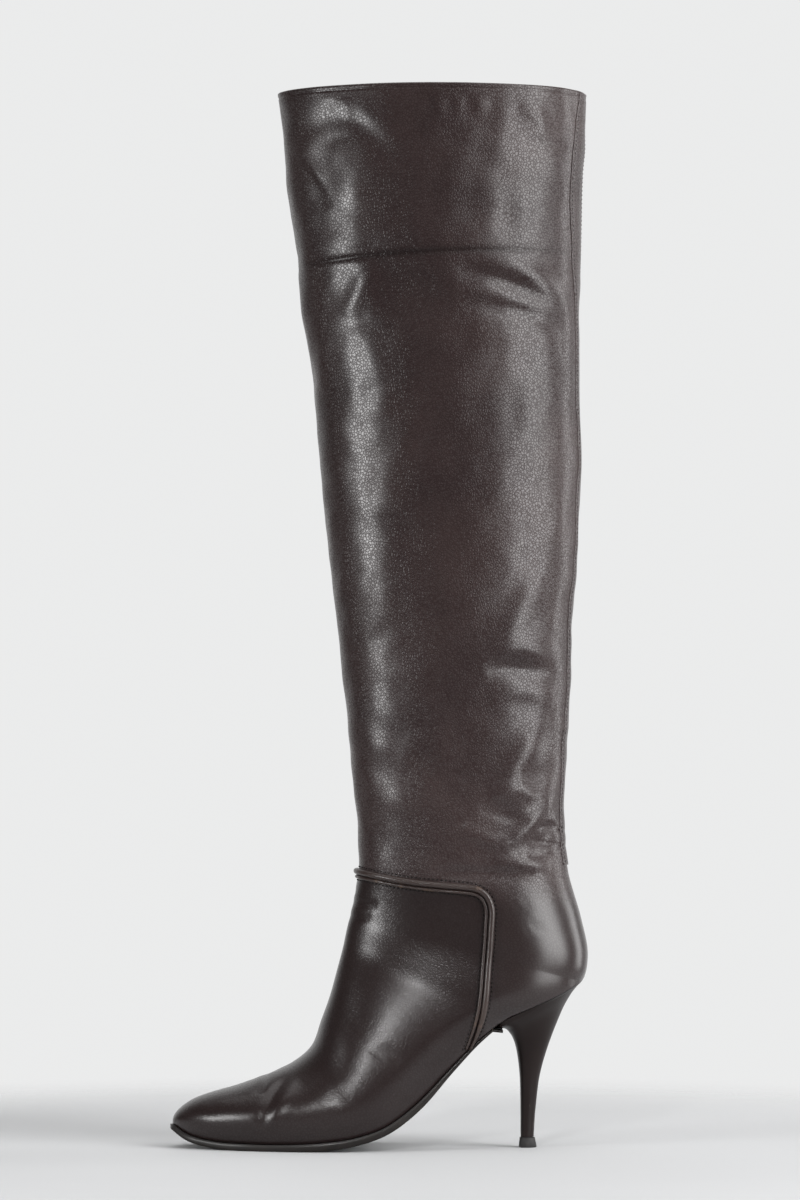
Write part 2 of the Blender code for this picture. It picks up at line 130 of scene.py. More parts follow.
# Folds of the leather, seen from the side: a curve from a start past a middle to an end, with the width of
# its trough or ridge. depth is below 0 for a trough. The inner side has the same folds, a little moved.
Fold = namedtuple("Fold", "x0 z0 x1 z1 x2 z2 width depth")
KNEE_CREASE = Fold(-50, 472.5, 16, 478.5, 108, 480.5, 1.4, -1.2)
KNEE_FOLDS = (
    KNEE_CREASE,
    Fold(-46, 483, 16, 488, 102, 489, 7.0, 0.55),
    Fold(54, 474, 82, 467, 101, 447, 5.4, 1.7),
    Fold(38, 470, 70, 462, 100, 446.0, 4.6, -1.8),
    Fold(34, 457, 69, 456, 103, 443.5, 3.6, 1.0),
    Fold(46, 451, 74, 447, 104, 440.5, 4.6, -1.8),
    Fold(-4, 459, 18, 458, 40, 456, 13.0, -2.2),
    Fold(-2, 471, -11, 458, -17, 443, 5.0, 1.2),
    Fold(48, 436, 70, 432, 98, 432, 9.0, 1.2),
)
CUFF_FOLDS = (
    Fold(-47, 538, -17, 550.5, 10, 520, 5.5, -0.9),
    Fold(-22, 559, -6, 552.5, 8, 536, 5.0, 0.2),
    Fold(-20, 540, -15, 512, -8, 482, 10.0, 1.2),
    Fold(-46, 540, -35, 525, -26, 509, 2.6, 0.8),
    Fold(-42, 533, -34, 517, -27, 503, 3.4, -0.6),
    Fold(74, 556.5, 86, 551, 85, 542, 3.5, 1.0),
    Fold(76, 537, 88, 537, 101, 536.5, 3.5, -0.9),
    Fold(66, 560, 63, 525, 58, 488, 7.0, 0.5),
)
SHIN_FOLDS = (
    Fold(88, 306, 76, 288, 63, 266, 7.0, 1.6),
    Fold(60, 265, 80, 269, 98, 262, 6.5, 1.5),
    Fold(56, 256, 76, 257, 93, 252, 5.5, -1.6),
    Fold(58, 243, 78, 246.5, 95, 240, 6.0, 1.4),
    Fold(86, 232, 77, 210, 61, 189, 6.5, 1.8),
    Fold(98, 226, 92, 208, 78, 193, 7.0, -1.6),
    Fold(37, 202, 42, 200.5, 47, 198, 1.4, -0.6),
    Fold(58, 190, 76, 192, 94, 184, 5.0, 1.5),
    Fold(54, 182, 68, 179.5, 80, 173, 4.5, -1.6),
    Fold(92, 186, 80, 174, 66, 160, 4.5, 1.6),
    Fold(44, 174, 56, 167, 70, 165, 4.5, 1.4),
    Fold(90, 176, 88, 166, 78, 158, 4.5, -1.4),
    Fold(86, 172.5, 94, 172.5, 103, 168, 1.6, -1.2),
    Fold(82, 165, 92, 163.5, 103, 161.5, 1.6, -1.3),
    Fold(80, 158, 90, 157.5, 100, 158, 1.6, -0.8),
    Fold(62, 155, 78, 153, 92, 151, 3.6, 1.5),
    Fold(30, 148.5, 58, 147.5, 84, 146.5, 3.4, -1.8),
)
FOOT_FOLDS = (
    Fold(62, 126, 78, 133, 93, 136, 1.8, -0.5),
    Fold(77, 117, 84, 119.5, 91, 116, 1.4, -0.5),
    Fold(-20, 134, -10, 131.5, 0, 130.5, 2.2, -0.9),
    Fold(-22, 126, -13, 124, -4, 124.5, 2.0, -0.6),
    Fold(-61, 41, -62.5, 35, -64, 30, 2.0, -0.8),
    Fold(-48, 40, -58, 27, -62, 12, 2.2, -1.1),
    Fold(-43, 37, -52, 25, -57, 12, 2.8, 0.7),
    Fold(-29, 36, -26, 31, -24, 25, 1.6, -0.5),
    Fold(-24, 34, -21, 29, -19, 23, 1.6, -0.5),
    Fold(-6, 56, 0, 52, 4, 46, 1.6, -0.4),
    Fold(1, 57, 7, 52, 11, 46, 1.6, -0.4),
)
FOLDS = KNEE_FOLDS + CUFF_FOLDS + SHIN_FOLDS + FOOT_FOLDS
INNER_SHIFT_X, INNER_SHIFT_Z, INNER_SHARE = -5.0, 6.0, 0.8
FOLD_REACH, FOLD_FADE = 3.0, 0.7
FOLD_POINTS, FOLD_POINTS_PER_WIDTH = 12, 3
CREASE_WIDTH, CREASE_POWER, FOLD_POWER = 2.0, 1.2, 2.0
SIDE_BLEND = 8.0
PUCKER_XS = (-27.0, -17.5, 7.6, 22.0, 27.0, 32.0, 37.5, 43.0, 48.0, 54.0, 61.0)
PUCKER_TOP, PUCKER_FOOT, PUCKER_LEAN, PUCKER_WIDTH, PUCKER_DEPTH = 562.0, 551.0, 1.0, 1.6, 0.5
WRINKLE_ZS = (486.5, 489.4, 492.1, 495.2, 498.0, 501.3)
WRINKLE_START, WRINKLE_END, WRINKLE_WIDTH, WRINKLE_DEPTH = 60.0, 84.0, 1.0, -0.3
Wave = namedtuple("Wave", "length height")
WAVES = (Wave(36.0, 1.2), Wave(13.0, 0.5))
WAVES_FROM_Z, WAVES_FULL_Z = 90.0, 200.0
EDGE_LINE_DROP, EDGE_LINE_WIDTH, EDGE_LINE_DEPTH = 2.8, 0.45, 0.35
HELD_FROM_TURN, HELD_TURN = 0.75 * math.pi, 0.95 * math.pi


def through(knots, rows, at):
    """Rows at several places on a smooth curve through a table's rows."""
    slopes = np.gradient(rows, knots, axis=0)
    i = np.clip(np.searchsorted(knots, at) - 1, 0, len(knots) - 2)
    length = (knots[i + 1] - knots[i])[:, None]
    f = (at - knots[i])[:, None] / length
    rise = f * f * (3 - 2 * f)
    leave, arrive = f * (1 - f) ** 2, f * f * (f - 1)
    return rows[i] * (1 - rise) + rows[i + 1] * rise + length * (slopes[i] * leave + slopes[i + 1] * arrive)


def read(table, at):
    """The other columns of a table whose first column is the place, at several places."""
    rows = np.array(table, float)
    return through(rows[:, 0], rows[:, 1:], np.atleast_1d(np.asarray(at, float))).T


def bottom(x, grow=0.0):
    """Height, middle line and half width of the last's lower face, with its outline grown by grow."""
    x = np.atleast_1d(np.asarray(x, float))
    z, centre, half = read(LAST_BOTTOM, np.clip(x, TOE_TIP_X, SEAT_BACK_X))
    half = half + grow
    heel_run = (SEAT_BACK_X - x) / math.cos(SEAT_TILT) + grow
    toe_run = x - TOE_TIP_X + grow
    for run, rounding in ((heel_run, SEAT_ROUNDING + grow), (toe_run, TOE_ROUNDING + grow)):
        share = np.clip(run / rounding, 0, 1)
        half = half * np.sqrt(1 - (1 - share) ** 2)
    return z, centre, half


def half_section(turn, half, edge, widest, front_power, back_power):
    """(share of the way from front to back, distance out) at turns from 0, the front, to pi, the back."""
    front = 2 / front_power
    ahead = np.minimum(turn, math.pi / 2)
    front_along = widest * (1 - np.cos(ahead) ** front)
    front_out = half * np.sin(ahead) ** front
    back = 2 / back_power
    cut = np.arccos((edge / np.maximum(half, TINY)) ** (1 / back))
    past = cut * np.maximum(2 * turn / math.pi - 1, 0)
    back_along = widest + (1 - widest) * (np.sin(past) / np.sin(cut)) ** back
    back_out = half * np.maximum(np.cos(past), 0) ** back
    is_front = turn <= math.pi / 2
    return np.where(is_front, front_along, back_along), np.where(is_front, front_out, back_out)


section_table = np.array(
    [list(s) for s in LEG_SECTIONS]
    + [[s.front_x, s.front_z, s.back_x, float(bottom(s.back_x)[0][0]), s.half, s.widest,
        FOOT_FRONT_POWER, FOOT_BACK_POWER] for s in FOOT_SECTIONS])
section_moves = np.diff(section_table[:, :4], axis=0)
section_lengths = (np.hypot(*section_moves[:, :2].T) + np.hypot(*section_moves[:, 2:].T)) / 2
section_knots = np.concatenate([[0.0], np.cumsum(section_lengths)])
seat_section = len(LEG_SECTIONS) - 1
seat_place = section_knots[seat_section]


def skin_rows():
    """Places of the mesh rows along the sections, from just under the rim to the toe tip."""
    places = []
    for i, length in enumerate(section_lengths):
        count = max(FEWEST_ROWS, round(length / ROW_STEP))
        share = np.arange(count) / count
        if i == seat_section:
            share = share**SEAT_EASE
        places.append(section_knots[i] + length * share)
    places = np.concatenate(places + [section_knots[-1:]])
    heights = through(section_knots, section_table, section_knots)[:, 3]
    bands = ((KNEE_HIGH_Z, KNEE_LOW_Z, KNEE_STEP), (ANKLE_HIGH_Z, ANKLE_LOW_Z, ANKLE_STEP))
    fine = [(RIM_RADIUS, FINE_COLLAR, FINE_STEP)]
    fine += [(*np.interp([-high, -low], -heights, section_knots), step) for high, low, step in bands]
    for start, end, step in fine:
        places = np.concatenate([places[(places < start) | (places > end)], np.arange(start, end, step)])
    return np.sort(places[places >= RIM_RADIUS])


def skin_points(places):
    """The sections' points, as rows of columns, and the turn round the section of each column."""
    section = through(section_knots, section_table, places)
    front_x, front_z, back_x, back_z, half, widest, front_power, back_power = section.T[:, :, None]
    in_foot = (places >= seat_place)[:, None]
    foot_z, foot_centre, foot_edge = (column[:, None] for column in bottom(back_x[:, 0]))
    back_z = np.where(in_foot, foot_z, back_z)
    centre = np.where(in_foot, foot_centre, 0.0)
    edge = np.minimum(np.where(in_foot, foot_edge, 0.0), np.maximum(half, 0) * MOST_EDGE)
    turn = np.linspace(-math.pi, math.pi, 2 * SIDE_COLUMNS + 1)[None, :]
    along, out = half_section(np.abs(turn), np.maximum(half, 0), edge, widest, front_power, back_power)
    x = front_x + (back_x - front_x) * along
    z = front_z + (back_z - front_z) * along
    return np.stack([x, centre + np.sign(turn) * out, z], axis=2), turn


def outward(points, closed):
    """Normals of a sheet of points. closed says which rows close at the back."""
    normal = np.cross(np.gradient(points, axis=1), np.gradient(points, axis=0))
    seam = normal[:, :1] + normal[:, -1:]
    normal[closed, :1] = seam[closed]
    normal[closed, -1:] = seam[closed]
    normal[-1] = normal[-2]
    return normal / np.maximum(np.linalg.norm(normal, axis=2, keepdims=True), TINY)


def smooth_step(low, high, value):
    """0 below low, 1 above high, and a soft step between."""
    share = np.clip((value - low) / (high - low), 0, 1)
    return share * share * (3 - 2 * share)


def fold_height(fold, points, shift_x=0.0, shift_z=0.0):
    """How far one fold lifts each point."""
    length = math.hypot(fold.x2 - fold.x0, fold.z2 - fold.z0)
    s = np.linspace(0, 1, FOLD_POINTS + int(FOLD_POINTS_PER_WIDTH * length / fold.width))
    pull_x = 2 * fold.x1 - (fold.x0 + fold.x2) / 2
    pull_z = 2 * fold.z1 - (fold.z0 + fold.z2) / 2
    line_x = (1 - s) ** 2 * fold.x0 + 2 * s * (1 - s) * pull_x + s * s * fold.x2 + shift_x
    line_z = (1 - s) ** 2 * fold.z0 + 2 * s * (1 - s) * pull_z + s * s * fold.z2 + shift_z
    x, z = points[..., 0], points[..., 2]
    reach = FOLD_REACH * fold.width
    near = (x > line_x.min() - reach) & (x < line_x.max() + reach)
    near &= (z > line_z.min() - reach) & (z < line_z.max() + reach)
    lift = np.zeros(x.shape)
    away = np.hypot(x[near][:, None] - line_x, z[near][:, None] - line_z)
    nearest = away.argmin(axis=1)
    share = np.sin(math.pi * s[nearest]) ** FOLD_FADE
    power = CREASE_POWER if fold.width < CREASE_WIDTH else FOLD_POWER
    lift[near] = fold.depth * share * np.exp(-((away.min(axis=1) / fold.width) ** power))
    return lift


def leather_relief(points):
    """How far folds, puckers and soft waves lift each point of the skin."""
    y, z = points[..., 1], points[..., 2]
    outer = 1 - smooth_step(-SIDE_BLEND, SIDE_BLEND, y)
    lift = np.zeros(y.shape)
    for fold in FOLDS:
        lift += outer * fold_height(fold, points)
        lift += (1 - outer) * INNER_SHARE * fold_height(fold, points, INNER_SHIFT_X, INNER_SHIFT_Z)
    pucker_z = (PUCKER_TOP + PUCKER_FOOT) / 2
    for k, x in enumerate(PUCKER_XS):
        depth = PUCKER_DEPTH if k % 2 else -PUCKER_DEPTH
        pucker = Fold(x, PUCKER_TOP, x, pucker_z, x + PUCKER_LEAN, PUCKER_FOOT, PUCKER_WIDTH, depth)
        lift += fold_height(pucker, points)
    wrinkle_x = (WRINKLE_START + WRINKLE_END) / 2
    for wrinkle_z in WRINKLE_ZS:
        wrinkle = Fold(WRINKLE_START, wrinkle_z, wrinkle_x, wrinkle_z, WRINKLE_END, wrinkle_z,
                       WRINKLE_WIDTH, WRINKLE_DEPTH)
        lift += outer * fold_height(wrinkle, points)
    for wave in WAVES:
        heights = [noise.noise(Vector(p) / wave.length) for p in points.reshape(-1, 3)]
        share = smooth_step(WAVES_FROM_Z, WAVES_FULL_Z, z)
        lift += wave.height * np.array(heights).reshape(y.shape) * share
    from_line = (COLLAR_Z - EDGE_LINE_DROP - z) / EDGE_LINE_WIDTH
    return lift - EDGE_LINE_DEPTH * np.exp(-from_line * from_line)


def sheet_faces(rows, columns):
    """Corner numbers of the faces between rows of points."""
    corner = np.arange(rows * columns).reshape(rows, columns)
    corners = (corner[:-1, :-1], corner[:-1, 1:], corner[1:, 1:], corner[1:, :-1])
    return np.stack(corners, axis=2).reshape(-1, 4)


def make_piece(name, points, faces, numbers=None, weld=0.001):
    """A smooth object from points in millimetres. numbers are named values, one for each point."""
    mesh = bpy.data.meshes.new(name)
    mesh.from_pydata(np.asarray(points).reshape(-1, 3) * MM, [], [list(face) for face in faces])
    for key, values in (numbers or {}).items():
        layer = mesh.attributes.new(key, "FLOAT", "POINT")
        layer.data.foreach_set("value", np.ravel(values).astype(np.float32))
    bm = bmesh.new()
    bm.from_mesh(mesh)
    bmesh.ops.remove_doubles(bm, verts=bm.verts, dist=weld * MM)
    bmesh.ops.dissolve_degenerate(bm, edges=bm.edges, dist=weld * MM)
    bm.to_mesh(mesh)
    bm.free()
    mesh.shade_smooth()
    obj = bpy.data.objects.new(name, mesh)
    bpy.context.scene.collection.objects.link(obj)
    return obj


row_places = skin_rows()
bare, turns = skin_points(row_places)
in_leg = row_places < seat_place
bare_normal = outward(bare, in_leg)
free = 1 - smooth_step(HELD_FROM_TURN, HELD_TURN, np.abs(turns))
relief = leather_relief(bare) * np.where(in_leg[:, None], 1.0, free)
skin = bare + bare_normal * relief[..., None]
skin_normal = outward(skin, in_leg)

# The turned-in edge inside the collar, and the round rim that joins it to the skin.
level_normal = skin_normal[0] * (1, 1, 0)
level_normal /= np.linalg.norm(level_normal, axis=1, keepdims=True)
rim = [skin[0] - level_normal * RIM_RADIUS * (1 - math.cos(a)) + np.array([0, 0, RIM_RADIUS * math.sin(a)])
       for a in np.linspace(math.pi, 0, RIM_ROWS)[1:-1]]
inside_top = skin[0] - level_normal * WALL
inside = [inside_top - np.array([0, 0, TURNED_IN * share]) for share in TURNED_IN_SHARES]
sheet = np.concatenate([np.array(inside + rim), skin])
rows_added = len(sheet) - len(skin)

# The edge turned under the foot: one more column on each side, only where the upper is open underneath.
open_share = np.concatenate([np.zeros(rows_added), np.where(in_leg, 0.0, 1.0)])[:, None, None]
open_middle = (sheet[:, :1] + sheet[:, -1:]) / 2
open_width = np.linalg.norm(sheet[:, -1:] - sheet[:, :1], axis=2, keepdims=True)
under = np.minimum(TURNED_UNDER, open_width * MOST_UNDER_SHARE) * open_share
under /= np.maximum(open_width / 2, TINY)
lips = [side + (open_middle - side) * under for side in (sheet[:, :1], sheet[:, -1:])]
sheet = np.concatenate([lips[0], sheet, lips[1]], axis=1)

# Where the vamp, the counter and the crease at the knee lie, as numbers for the leather's finish: they set
# its smoothness and coat, and where painted shade darkens its colour.
SeamPoint = namedtuple("SeamPoint", "x z")
VAMP_EDGE = (SeamPoint(-11.4, 147.0), SeamPoint(15.0, 142.3), SeamPoint(47.0, 139.2))
VAMP_SIDE = (SeamPoint(54.5, 137.6), SeamPoint(58.2, 132.0), SeamPoint(58.4, 120.0), SeamPoint(56.8, 98.0))
VAMP_BACK = (SeamPoint(58.0, 40.0), SeamPoint(55.6, 76.0)) + VAMP_SIDE[::-1]
MASK_BLEND = 2.0
COUNTER_FULL_Z, COUNTER_END_Z = 125.0, 150.0
sheet_x, sheet_z = sheet[..., 0], sheet[..., 2]
edge_x = np.clip(sheet_x.ravel(), VAMP_EDGE[0].x, VAMP_EDGE[-1].x)
edge_z = read(VAMP_EDGE, edge_x)[0].reshape(sheet_x.shape)
back_x = np.interp(sheet_z, [point.z for point in VAMP_BACK], [point.x for point in VAMP_BACK])
below_edge = smooth_step(-MASK_BLEND, MASK_BLEND, edge_z - sheet_z)
vamp_mask = below_edge * smooth_step(-MASK_BLEND, MASK_BLEND, back_x - sheet_x)
# The counter: the upper low down, behind the vamp. It is smoother, and darkened with painted shade.
counter_mask = (1 - smooth_step(COUNTER_FULL_Z, COUNTER_END_Z, sheet_z)) * (1 - vamp_mask)
# A band along the crease at the knee, where painted shade darkens the colour and thins the coat.
knee_crease_band = KNEE_CREASE._replace(width=CREASE_WIDTH)
knee_crease_mask = np.clip(fold_height(knee_crease_band, sheet) / KNEE_CREASE.depth, 0, 1)
upper = make_piece("upper_leather", sheet, sheet_faces(*sheet.shape[:2]),
                   {"vamp": vamp_mask, "counter": counter_mask, "seam": knee_crease_mask})


class Shade:
    """One socket of a node tree. Arithmetic on it adds the nodes that work it out."""

    def __init__(self, nodes, socket):
        self.nodes = nodes
        self.socket = socket

    def other(self, name):
        """Another output of the same node."""
        return Shade(self.nodes, self.socket.node.outputs[name])

    def _with(self, operation, first, second):
        return self.nodes.node("ShaderNodeMath", {"operation": operation}, {0: first, 1: second})

    def __add__(self, other):
        return self._with("ADD", self, other)

    def __sub__(self, other):
        return self._with("SUBTRACT", self, other)

    def __rsub__(self, other):
        return self._with("SUBTRACT", other, self)

    def __mul__(self, other):
        return self._with("MULTIPLY", self, other)

    __radd__ = __add__
    __rmul__ = __mul__


class Nodes:
    """A node tree whose nodes are all made by one method."""

    def __init__(self, tree):
        self.tree = tree

    def join(self, socket, value):
        """Links a socket to a shade, or sets it to a plain value."""
        if isinstance(value, Shade):
            self.tree.links.new(value.socket, socket)
        else:
            socket.default_value = value

    def node(self, kind, settings=None, inputs=None, output=0):
        """Adds a node and returns one of its outputs, if it has any."""
        made = self.tree.nodes.new(kind)
        for key, value in (settings or {}).items():
            setattr(made, key, value)
        for key, value in (inputs or {}).items():
            self.join(made.inputs[key], value)
        return Shade(self, made.outputs[output]) if made.outputs else None

    def ramp(self, value, low, high, first=0.0, last=1.0):
        """first below low, last above high, and a soft step between."""
        return self.node("ShaderNodeMapRange", {"interpolation_type": "SMOOTHSTEP"}, {
            "Value": value,
            "From Min": low,
            "From Max": high,
            "To Min": first,
            "To Max": last,
        })


Cloud = namedtuple("Cloud", "lumps detail")
Step = namedtuple("Step", "low high")
Gloss = namedtuple("Gloss", "base more cloud")
Bump = namedtuple("Bump", "strength distance")


class Finish(Nodes):
    """A material made of nodes. Clouds have so many lumps to the metre."""

    def __init__(self, name):
        self.material = bpy.data.materials.new(name)
        self.material.use_nodes = True
        super().__init__(self.material.node_tree)
        self.shader = self.tree.nodes["Principled BSDF"]

    def place(self):
        return self.node("ShaderNodeTexCoord", output="Object")

    def height(self):
        return self.node("ShaderNodeSeparateXYZ", None, {0: self.place()}, "Z")

    def number(self, name):
        return self.node("ShaderNodeAttribute", {"attribute_name": name}, output="Fac")

    def cloud(self, cloud, place=None, output=0):
        """Noise from 0 to 1."""
        inputs = {"Vector": place or self.place(), "Scale": cloud.lumps, "Detail": cloud.detail}
        return self.node("ShaderNodeTexNoise", None, inputs, output)

    def gloss(self, gloss):
        """Roughness that varies in clouds."""
        return gloss.base + gloss.more * self.cloud(gloss.cloud)

    def mix(self, share, first, second):
        """A colour between two."""
        return self.node("ShaderNodeMix", {"data_type": "RGBA"}, {0: share, 6: first, 7: second}, 2)

    def bump(self, height, bump):
        inputs = {"Height": height, "Strength": bump.strength, "Distance": bump.distance}
        return self.node("ShaderNodeBump", None, inputs)

    def surface(self, inputs):
        for key, value in inputs.items():
            self.join(self.shader.inputs[key], value)
        return self.material


PEBBLE_BEND, PEBBLE_BEND_LUMPS, PEBBLE_BEND_DETAIL = 0.9, 0.35, 1.0
PEBBLE_ROUND, PEBBLE_CREASE = Step(0.0, 0.30), Step(0.03, 0.20)
PEBBLE_DUST, PEBBLE_DUST_LUMPS, PEBBLE_DUST_DETAIL = 0.25, 2.5, 3.0


def pebbles(look, size):
    """(height, crease) of leather grain: pebbles about size across, and the fine creases between them."""
    bend = look.cloud(Cloud(PEBBLE_BEND_LUMPS / size, PEBBLE_BEND_DETAIL), None, "Color")
    bent = look.node("ShaderNodeVectorMath", {"operation": "MULTIPLY_ADD"},
                     {0: bend, 1: (size * PEBBLE_BEND,) * 3, 2: look.place()})
    cells = look.node("ShaderNodeTexVoronoi", {"feature": "DISTANCE_TO_EDGE"},
                      {"Vector": bent, "Scale": 1 / size})
    dust = look.cloud(Cloud(PEBBLE_DUST_LUMPS / size, PEBBLE_DUST_DETAIL))
    return look.ramp(cells, *PEBBLE_ROUND) + PEBBLE_DUST * dust, 1 - look.ramp(cells, *PEBBLE_CREASE)


UPPER_DARK = (0.0250, 0.0160, 0.0160, 1)
UPPER_BROWN = (0.0410, 0.0268, 0.0256, 1)
# The colour of the painted shade on the vamp, the counter and the crease at the knee.
UPPER_PAINTED_SHADE = (0.0105, 0.0066, 0.0064, 1)
UPPER_TONE, UPPER_TONE_STEP = Cloud(18.0, 4.0), Step(0.3, 0.7)
TONE_SHARE, GRAIN_SHARE = 0.7, 0.3
# How far painted shade darkens the vamp, the counter and the crease at the knee.
VAMP_PAINTED_SHADE, COUNTER_PAINTED_SHADE, KNEE_CREASE_PAINTED_SHADE = 0.8, 0.65, 0.6
UPPER_GRAIN = 0.0015
VAMP_SMOOTH, COUNTER_SMOOTH = 0.75, 0.9
SMOOTH_HIDES_CREASES, SMOOTH_HIDES_PEBBLES = 0.8, 0.9
VAMP_WRINKLES, VAMP_WRINKLES_DEPTH = Cloud(450.0, 2.0), 0.9
VAMP_WRINKLES_TURN, VAMP_WRINKLES_STRETCH = math.radians(-45.0), 4.0
UPPER_GLOSS, SMOOTH_GLOSS = Gloss(0.29, 0.08, Cloud(60.0, 3.0)), 0.09
UPPER_COAT, COAT_IN_CREASES, COAT_OFF_VAMP, COAT_OFF_KNEE_CREASE = 0.8, 0.7, 0.45, 0.7
UPPER_BUMP = Bump(0.5, 0.00024)
brown_leather = Finish("brown_leather")
# The sheet's vamp, counter and "seam" numbers, where "seam" marks the crease at the knee. They set
# smoothness, coat and painted shade.
vamp_part = brown_leather.number("vamp")
counter_part = brown_leather.number("counter")
knee_crease_part = brown_leather.number("seam")
smooth_parts = VAMP_SMOOTH * vamp_part + COUNTER_SMOOTH * counter_part
grain_height, grain_crease = pebbles(brown_leather, UPPER_GRAIN)
open_grain = grain_crease * (1 - SMOOTH_HIDES_CREASES * smooth_parts)
tone = brown_leather.ramp(brown_leather.cloud(UPPER_TONE), *UPPER_TONE_STEP)
tone_share = TONE_SHARE * tone + GRAIN_SHARE * (1 - open_grain)
leg_colour = brown_leather.mix(tone_share, UPPER_DARK, UPPER_BROWN)
# Painted shade: the base colour is darkened on the vamp, on the counter and along the crease at the knee.
painted_shade_share = VAMP_PAINTED_SHADE * vamp_part + COUNTER_PAINTED_SHADE * counter_part + KNEE_CREASE_PAINTED_SHADE * knee_crease_part
across_wrinkles = brown_leather.node("ShaderNodeMapping", {"vector_type": "TEXTURE"}, {
    "Vector": brown_leather.place(),
    "Rotation": (0.0, VAMP_WRINKLES_TURN, 0.0),
    "Scale": (1.0, 1.0, VAMP_WRINKLES_STRETCH),
})
wrinkles = brown_leather.cloud(VAMP_WRINKLES, across_wrinkles) * vamp_part
upper_height = grain_height * (1 - SMOOTH_HIDES_PEBBLES * smooth_parts) + VAMP_WRINKLES_DEPTH * wrinkles
# Less coat on the vamp, and less along the crease at the knee, which paints shade there.
coat_share = 1 - COAT_OFF_VAMP * vamp_part - COAT_OFF_KNEE_CREASE * knee_crease_part
upper.data.materials.append(brown_leather.surface({
    "Base Color": brown_leather.mix(painted_shade_share, leg_colour, UPPER_PAINTED_SHADE),
    "Roughness": brown_leather.gloss(UPPER_GLOSS) - SMOOTH_GLOSS * smooth_parts,
    "Specular IOR Level": 0.2,
    "Coat Weight": (UPPER_COAT - COAT_IN_CREASES * open_grain) * coat_share,
    "Coat Roughness": 0.29,
    "Normal": brown_leather.bump(upper_height, UPPER_BUMP),
}))
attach(upper, "root")
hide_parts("upper")

# Lining: thin tan leather, sewn to the upper under its turned edge and glued down to the insole.
# It is cut without folds, and hangs a little off the upper in the leg, clear of the upper's creases.
LINING_STEP = 4
LINING_TOP = 4.0
LiningGap = namedtuple("LiningGap", "place gap")
LINING_GAPS = (
    LiningGap(LINING_TOP, -0.8),
    LiningGap(LINING_TOP + 3.0, -0.6),
    LiningGap(LINING_TOP + 18.0, 2.4),
    LiningGap(seat_place - 40.0, 2.4),
    LiningGap(seat_place, 0.25),
)
lining_rows = np.flatnonzero(row_places > LINING_TOP)[::LINING_STEP]
lining_columns = np.arange(0, skin.shape[1], LINING_STEP)
lining_gap = np.interp(row_places, *zip(*LINING_GAPS))
lining_skin = bare - bare_normal * (WALL + lining_gap)[:, None, None]
lining_sheet = lining_skin[np.ix_(lining_rows, lining_columns)]
lining = make_piece("lining", lining_sheet, sheet_faces(*lining_sheet.shape[:2])[:, ::-1])

LINING_TAN = (0.23, 0.155, 0.105, 1)
LINING_WORN = (0.17, 0.11, 0.075, 1)
LINING_WEAR = Cloud(25.0, 4.0)
LINING_GRAIN = 0.0009
LINING_GLOSS = Gloss(0.62, 0.1, Cloud(80.0, 2.0))
LINING_BUMP = Bump(0.25, 0.0002)
lining_leather = Finish("lining_leather")
lining.data.materials.append(lining_leather.surface({
    "Base Color": lining_leather.mix(lining_leather.cloud(LINING_WEAR), LINING_TAN, LINING_WORN),
    "Roughness": lining_leather.gloss(LINING_GLOSS),
    "Normal": lining_leather.bump(pebbles(lining_leather, LINING_GRAIN)[0], LINING_BUMP),
}))
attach(lining, "root")

# Piping: two cords, a wide and a thin one, each in a strip of the same leather, caught in the seam
# between the vamp and the leg. It runs up from the sole, across the front and down to the sole again.
PIPING_FOOT = (SeamPoint(54.6, 76.0), SeamPoint(48.9, 58.0), SeamPoint(47.2, 54.0))
PIPING_LEG = VAMP_EDGE[-1:] + VAMP_SIDE + PIPING_FOOT
PIPING_TOP_STATIONS, PIPING_LEG_STATIONS = 60, 90
PIPING_STEP, PIPING_EASE = 1.2, 6
RAY_START = 200.0
Cord = namedtuple("Cord", "name offset radius sunk")
CORDS = (
    Cord("piping_wide", 1.6, 1.65, 0.45),
    Cord("piping_thin", -1.35, 0.95, 0.25),
)
CORD_SIDES = 14
FLAT_END, FLAT_SHARE = 30.0, 0.5

skin_faces = sheet_faces(*sheet.shape[:2]).tolist()
skin_tree = BVHTree.FromPolygons([Vector(p) for p in sheet.reshape(-1, 3)], skin_faces)


def piping_side(side):
    """Places along one side of the piping, from beside the middle of the front to the sole."""
    turn = math.pi / 2 * np.arange(1, PIPING_TOP_STATIONS) / PIPING_TOP_STATIONS
    xs = VAMP_EDGE[0].x + (VAMP_EDGE[-1].x - VAMP_EDGE[0].x) * (1 - np.cos(turn))
    flat = list(zip(xs, read(VAMP_EDGE, xs)[0]))
    leg = np.array(PIPING_LEG)
    knots = np.concatenate([[0.0], np.cumsum(np.hypot(*np.diff(leg, axis=0).T))])
    flat += [tuple(p) for p in through(knots, leg, np.linspace(0, knots[-1], PIPING_LEG_STATIONS))]
    hits = [skin_tree.ray_cast(Vector((x, side * RAY_START, z)), Vector((0, -side, 0))) for x, z in flat]
    return [hit[0] for hit in hits if hit[0]]


def even(places, step):
    """Places along a path, moved to equal steps along it."""
    places = np.array(places, float)
    knots = np.concatenate([[0.0], np.cumsum(np.linalg.norm(np.diff(places, axis=0), axis=1))])
    at = np.linspace(0, knots[-1], int(knots[-1] / step) + 1)
    return np.stack([np.interp(at, knots, places[:, k]) for k in range(places.shape[1])], axis=1)


def eased(values, times):
    """Values along a path, each moved towards the mean of its neighbours."""
    for _ in range(times):
        values[1:-1] = (values[:-2] + 2 * values[1:-1] + values[2:]) / 4
    return values


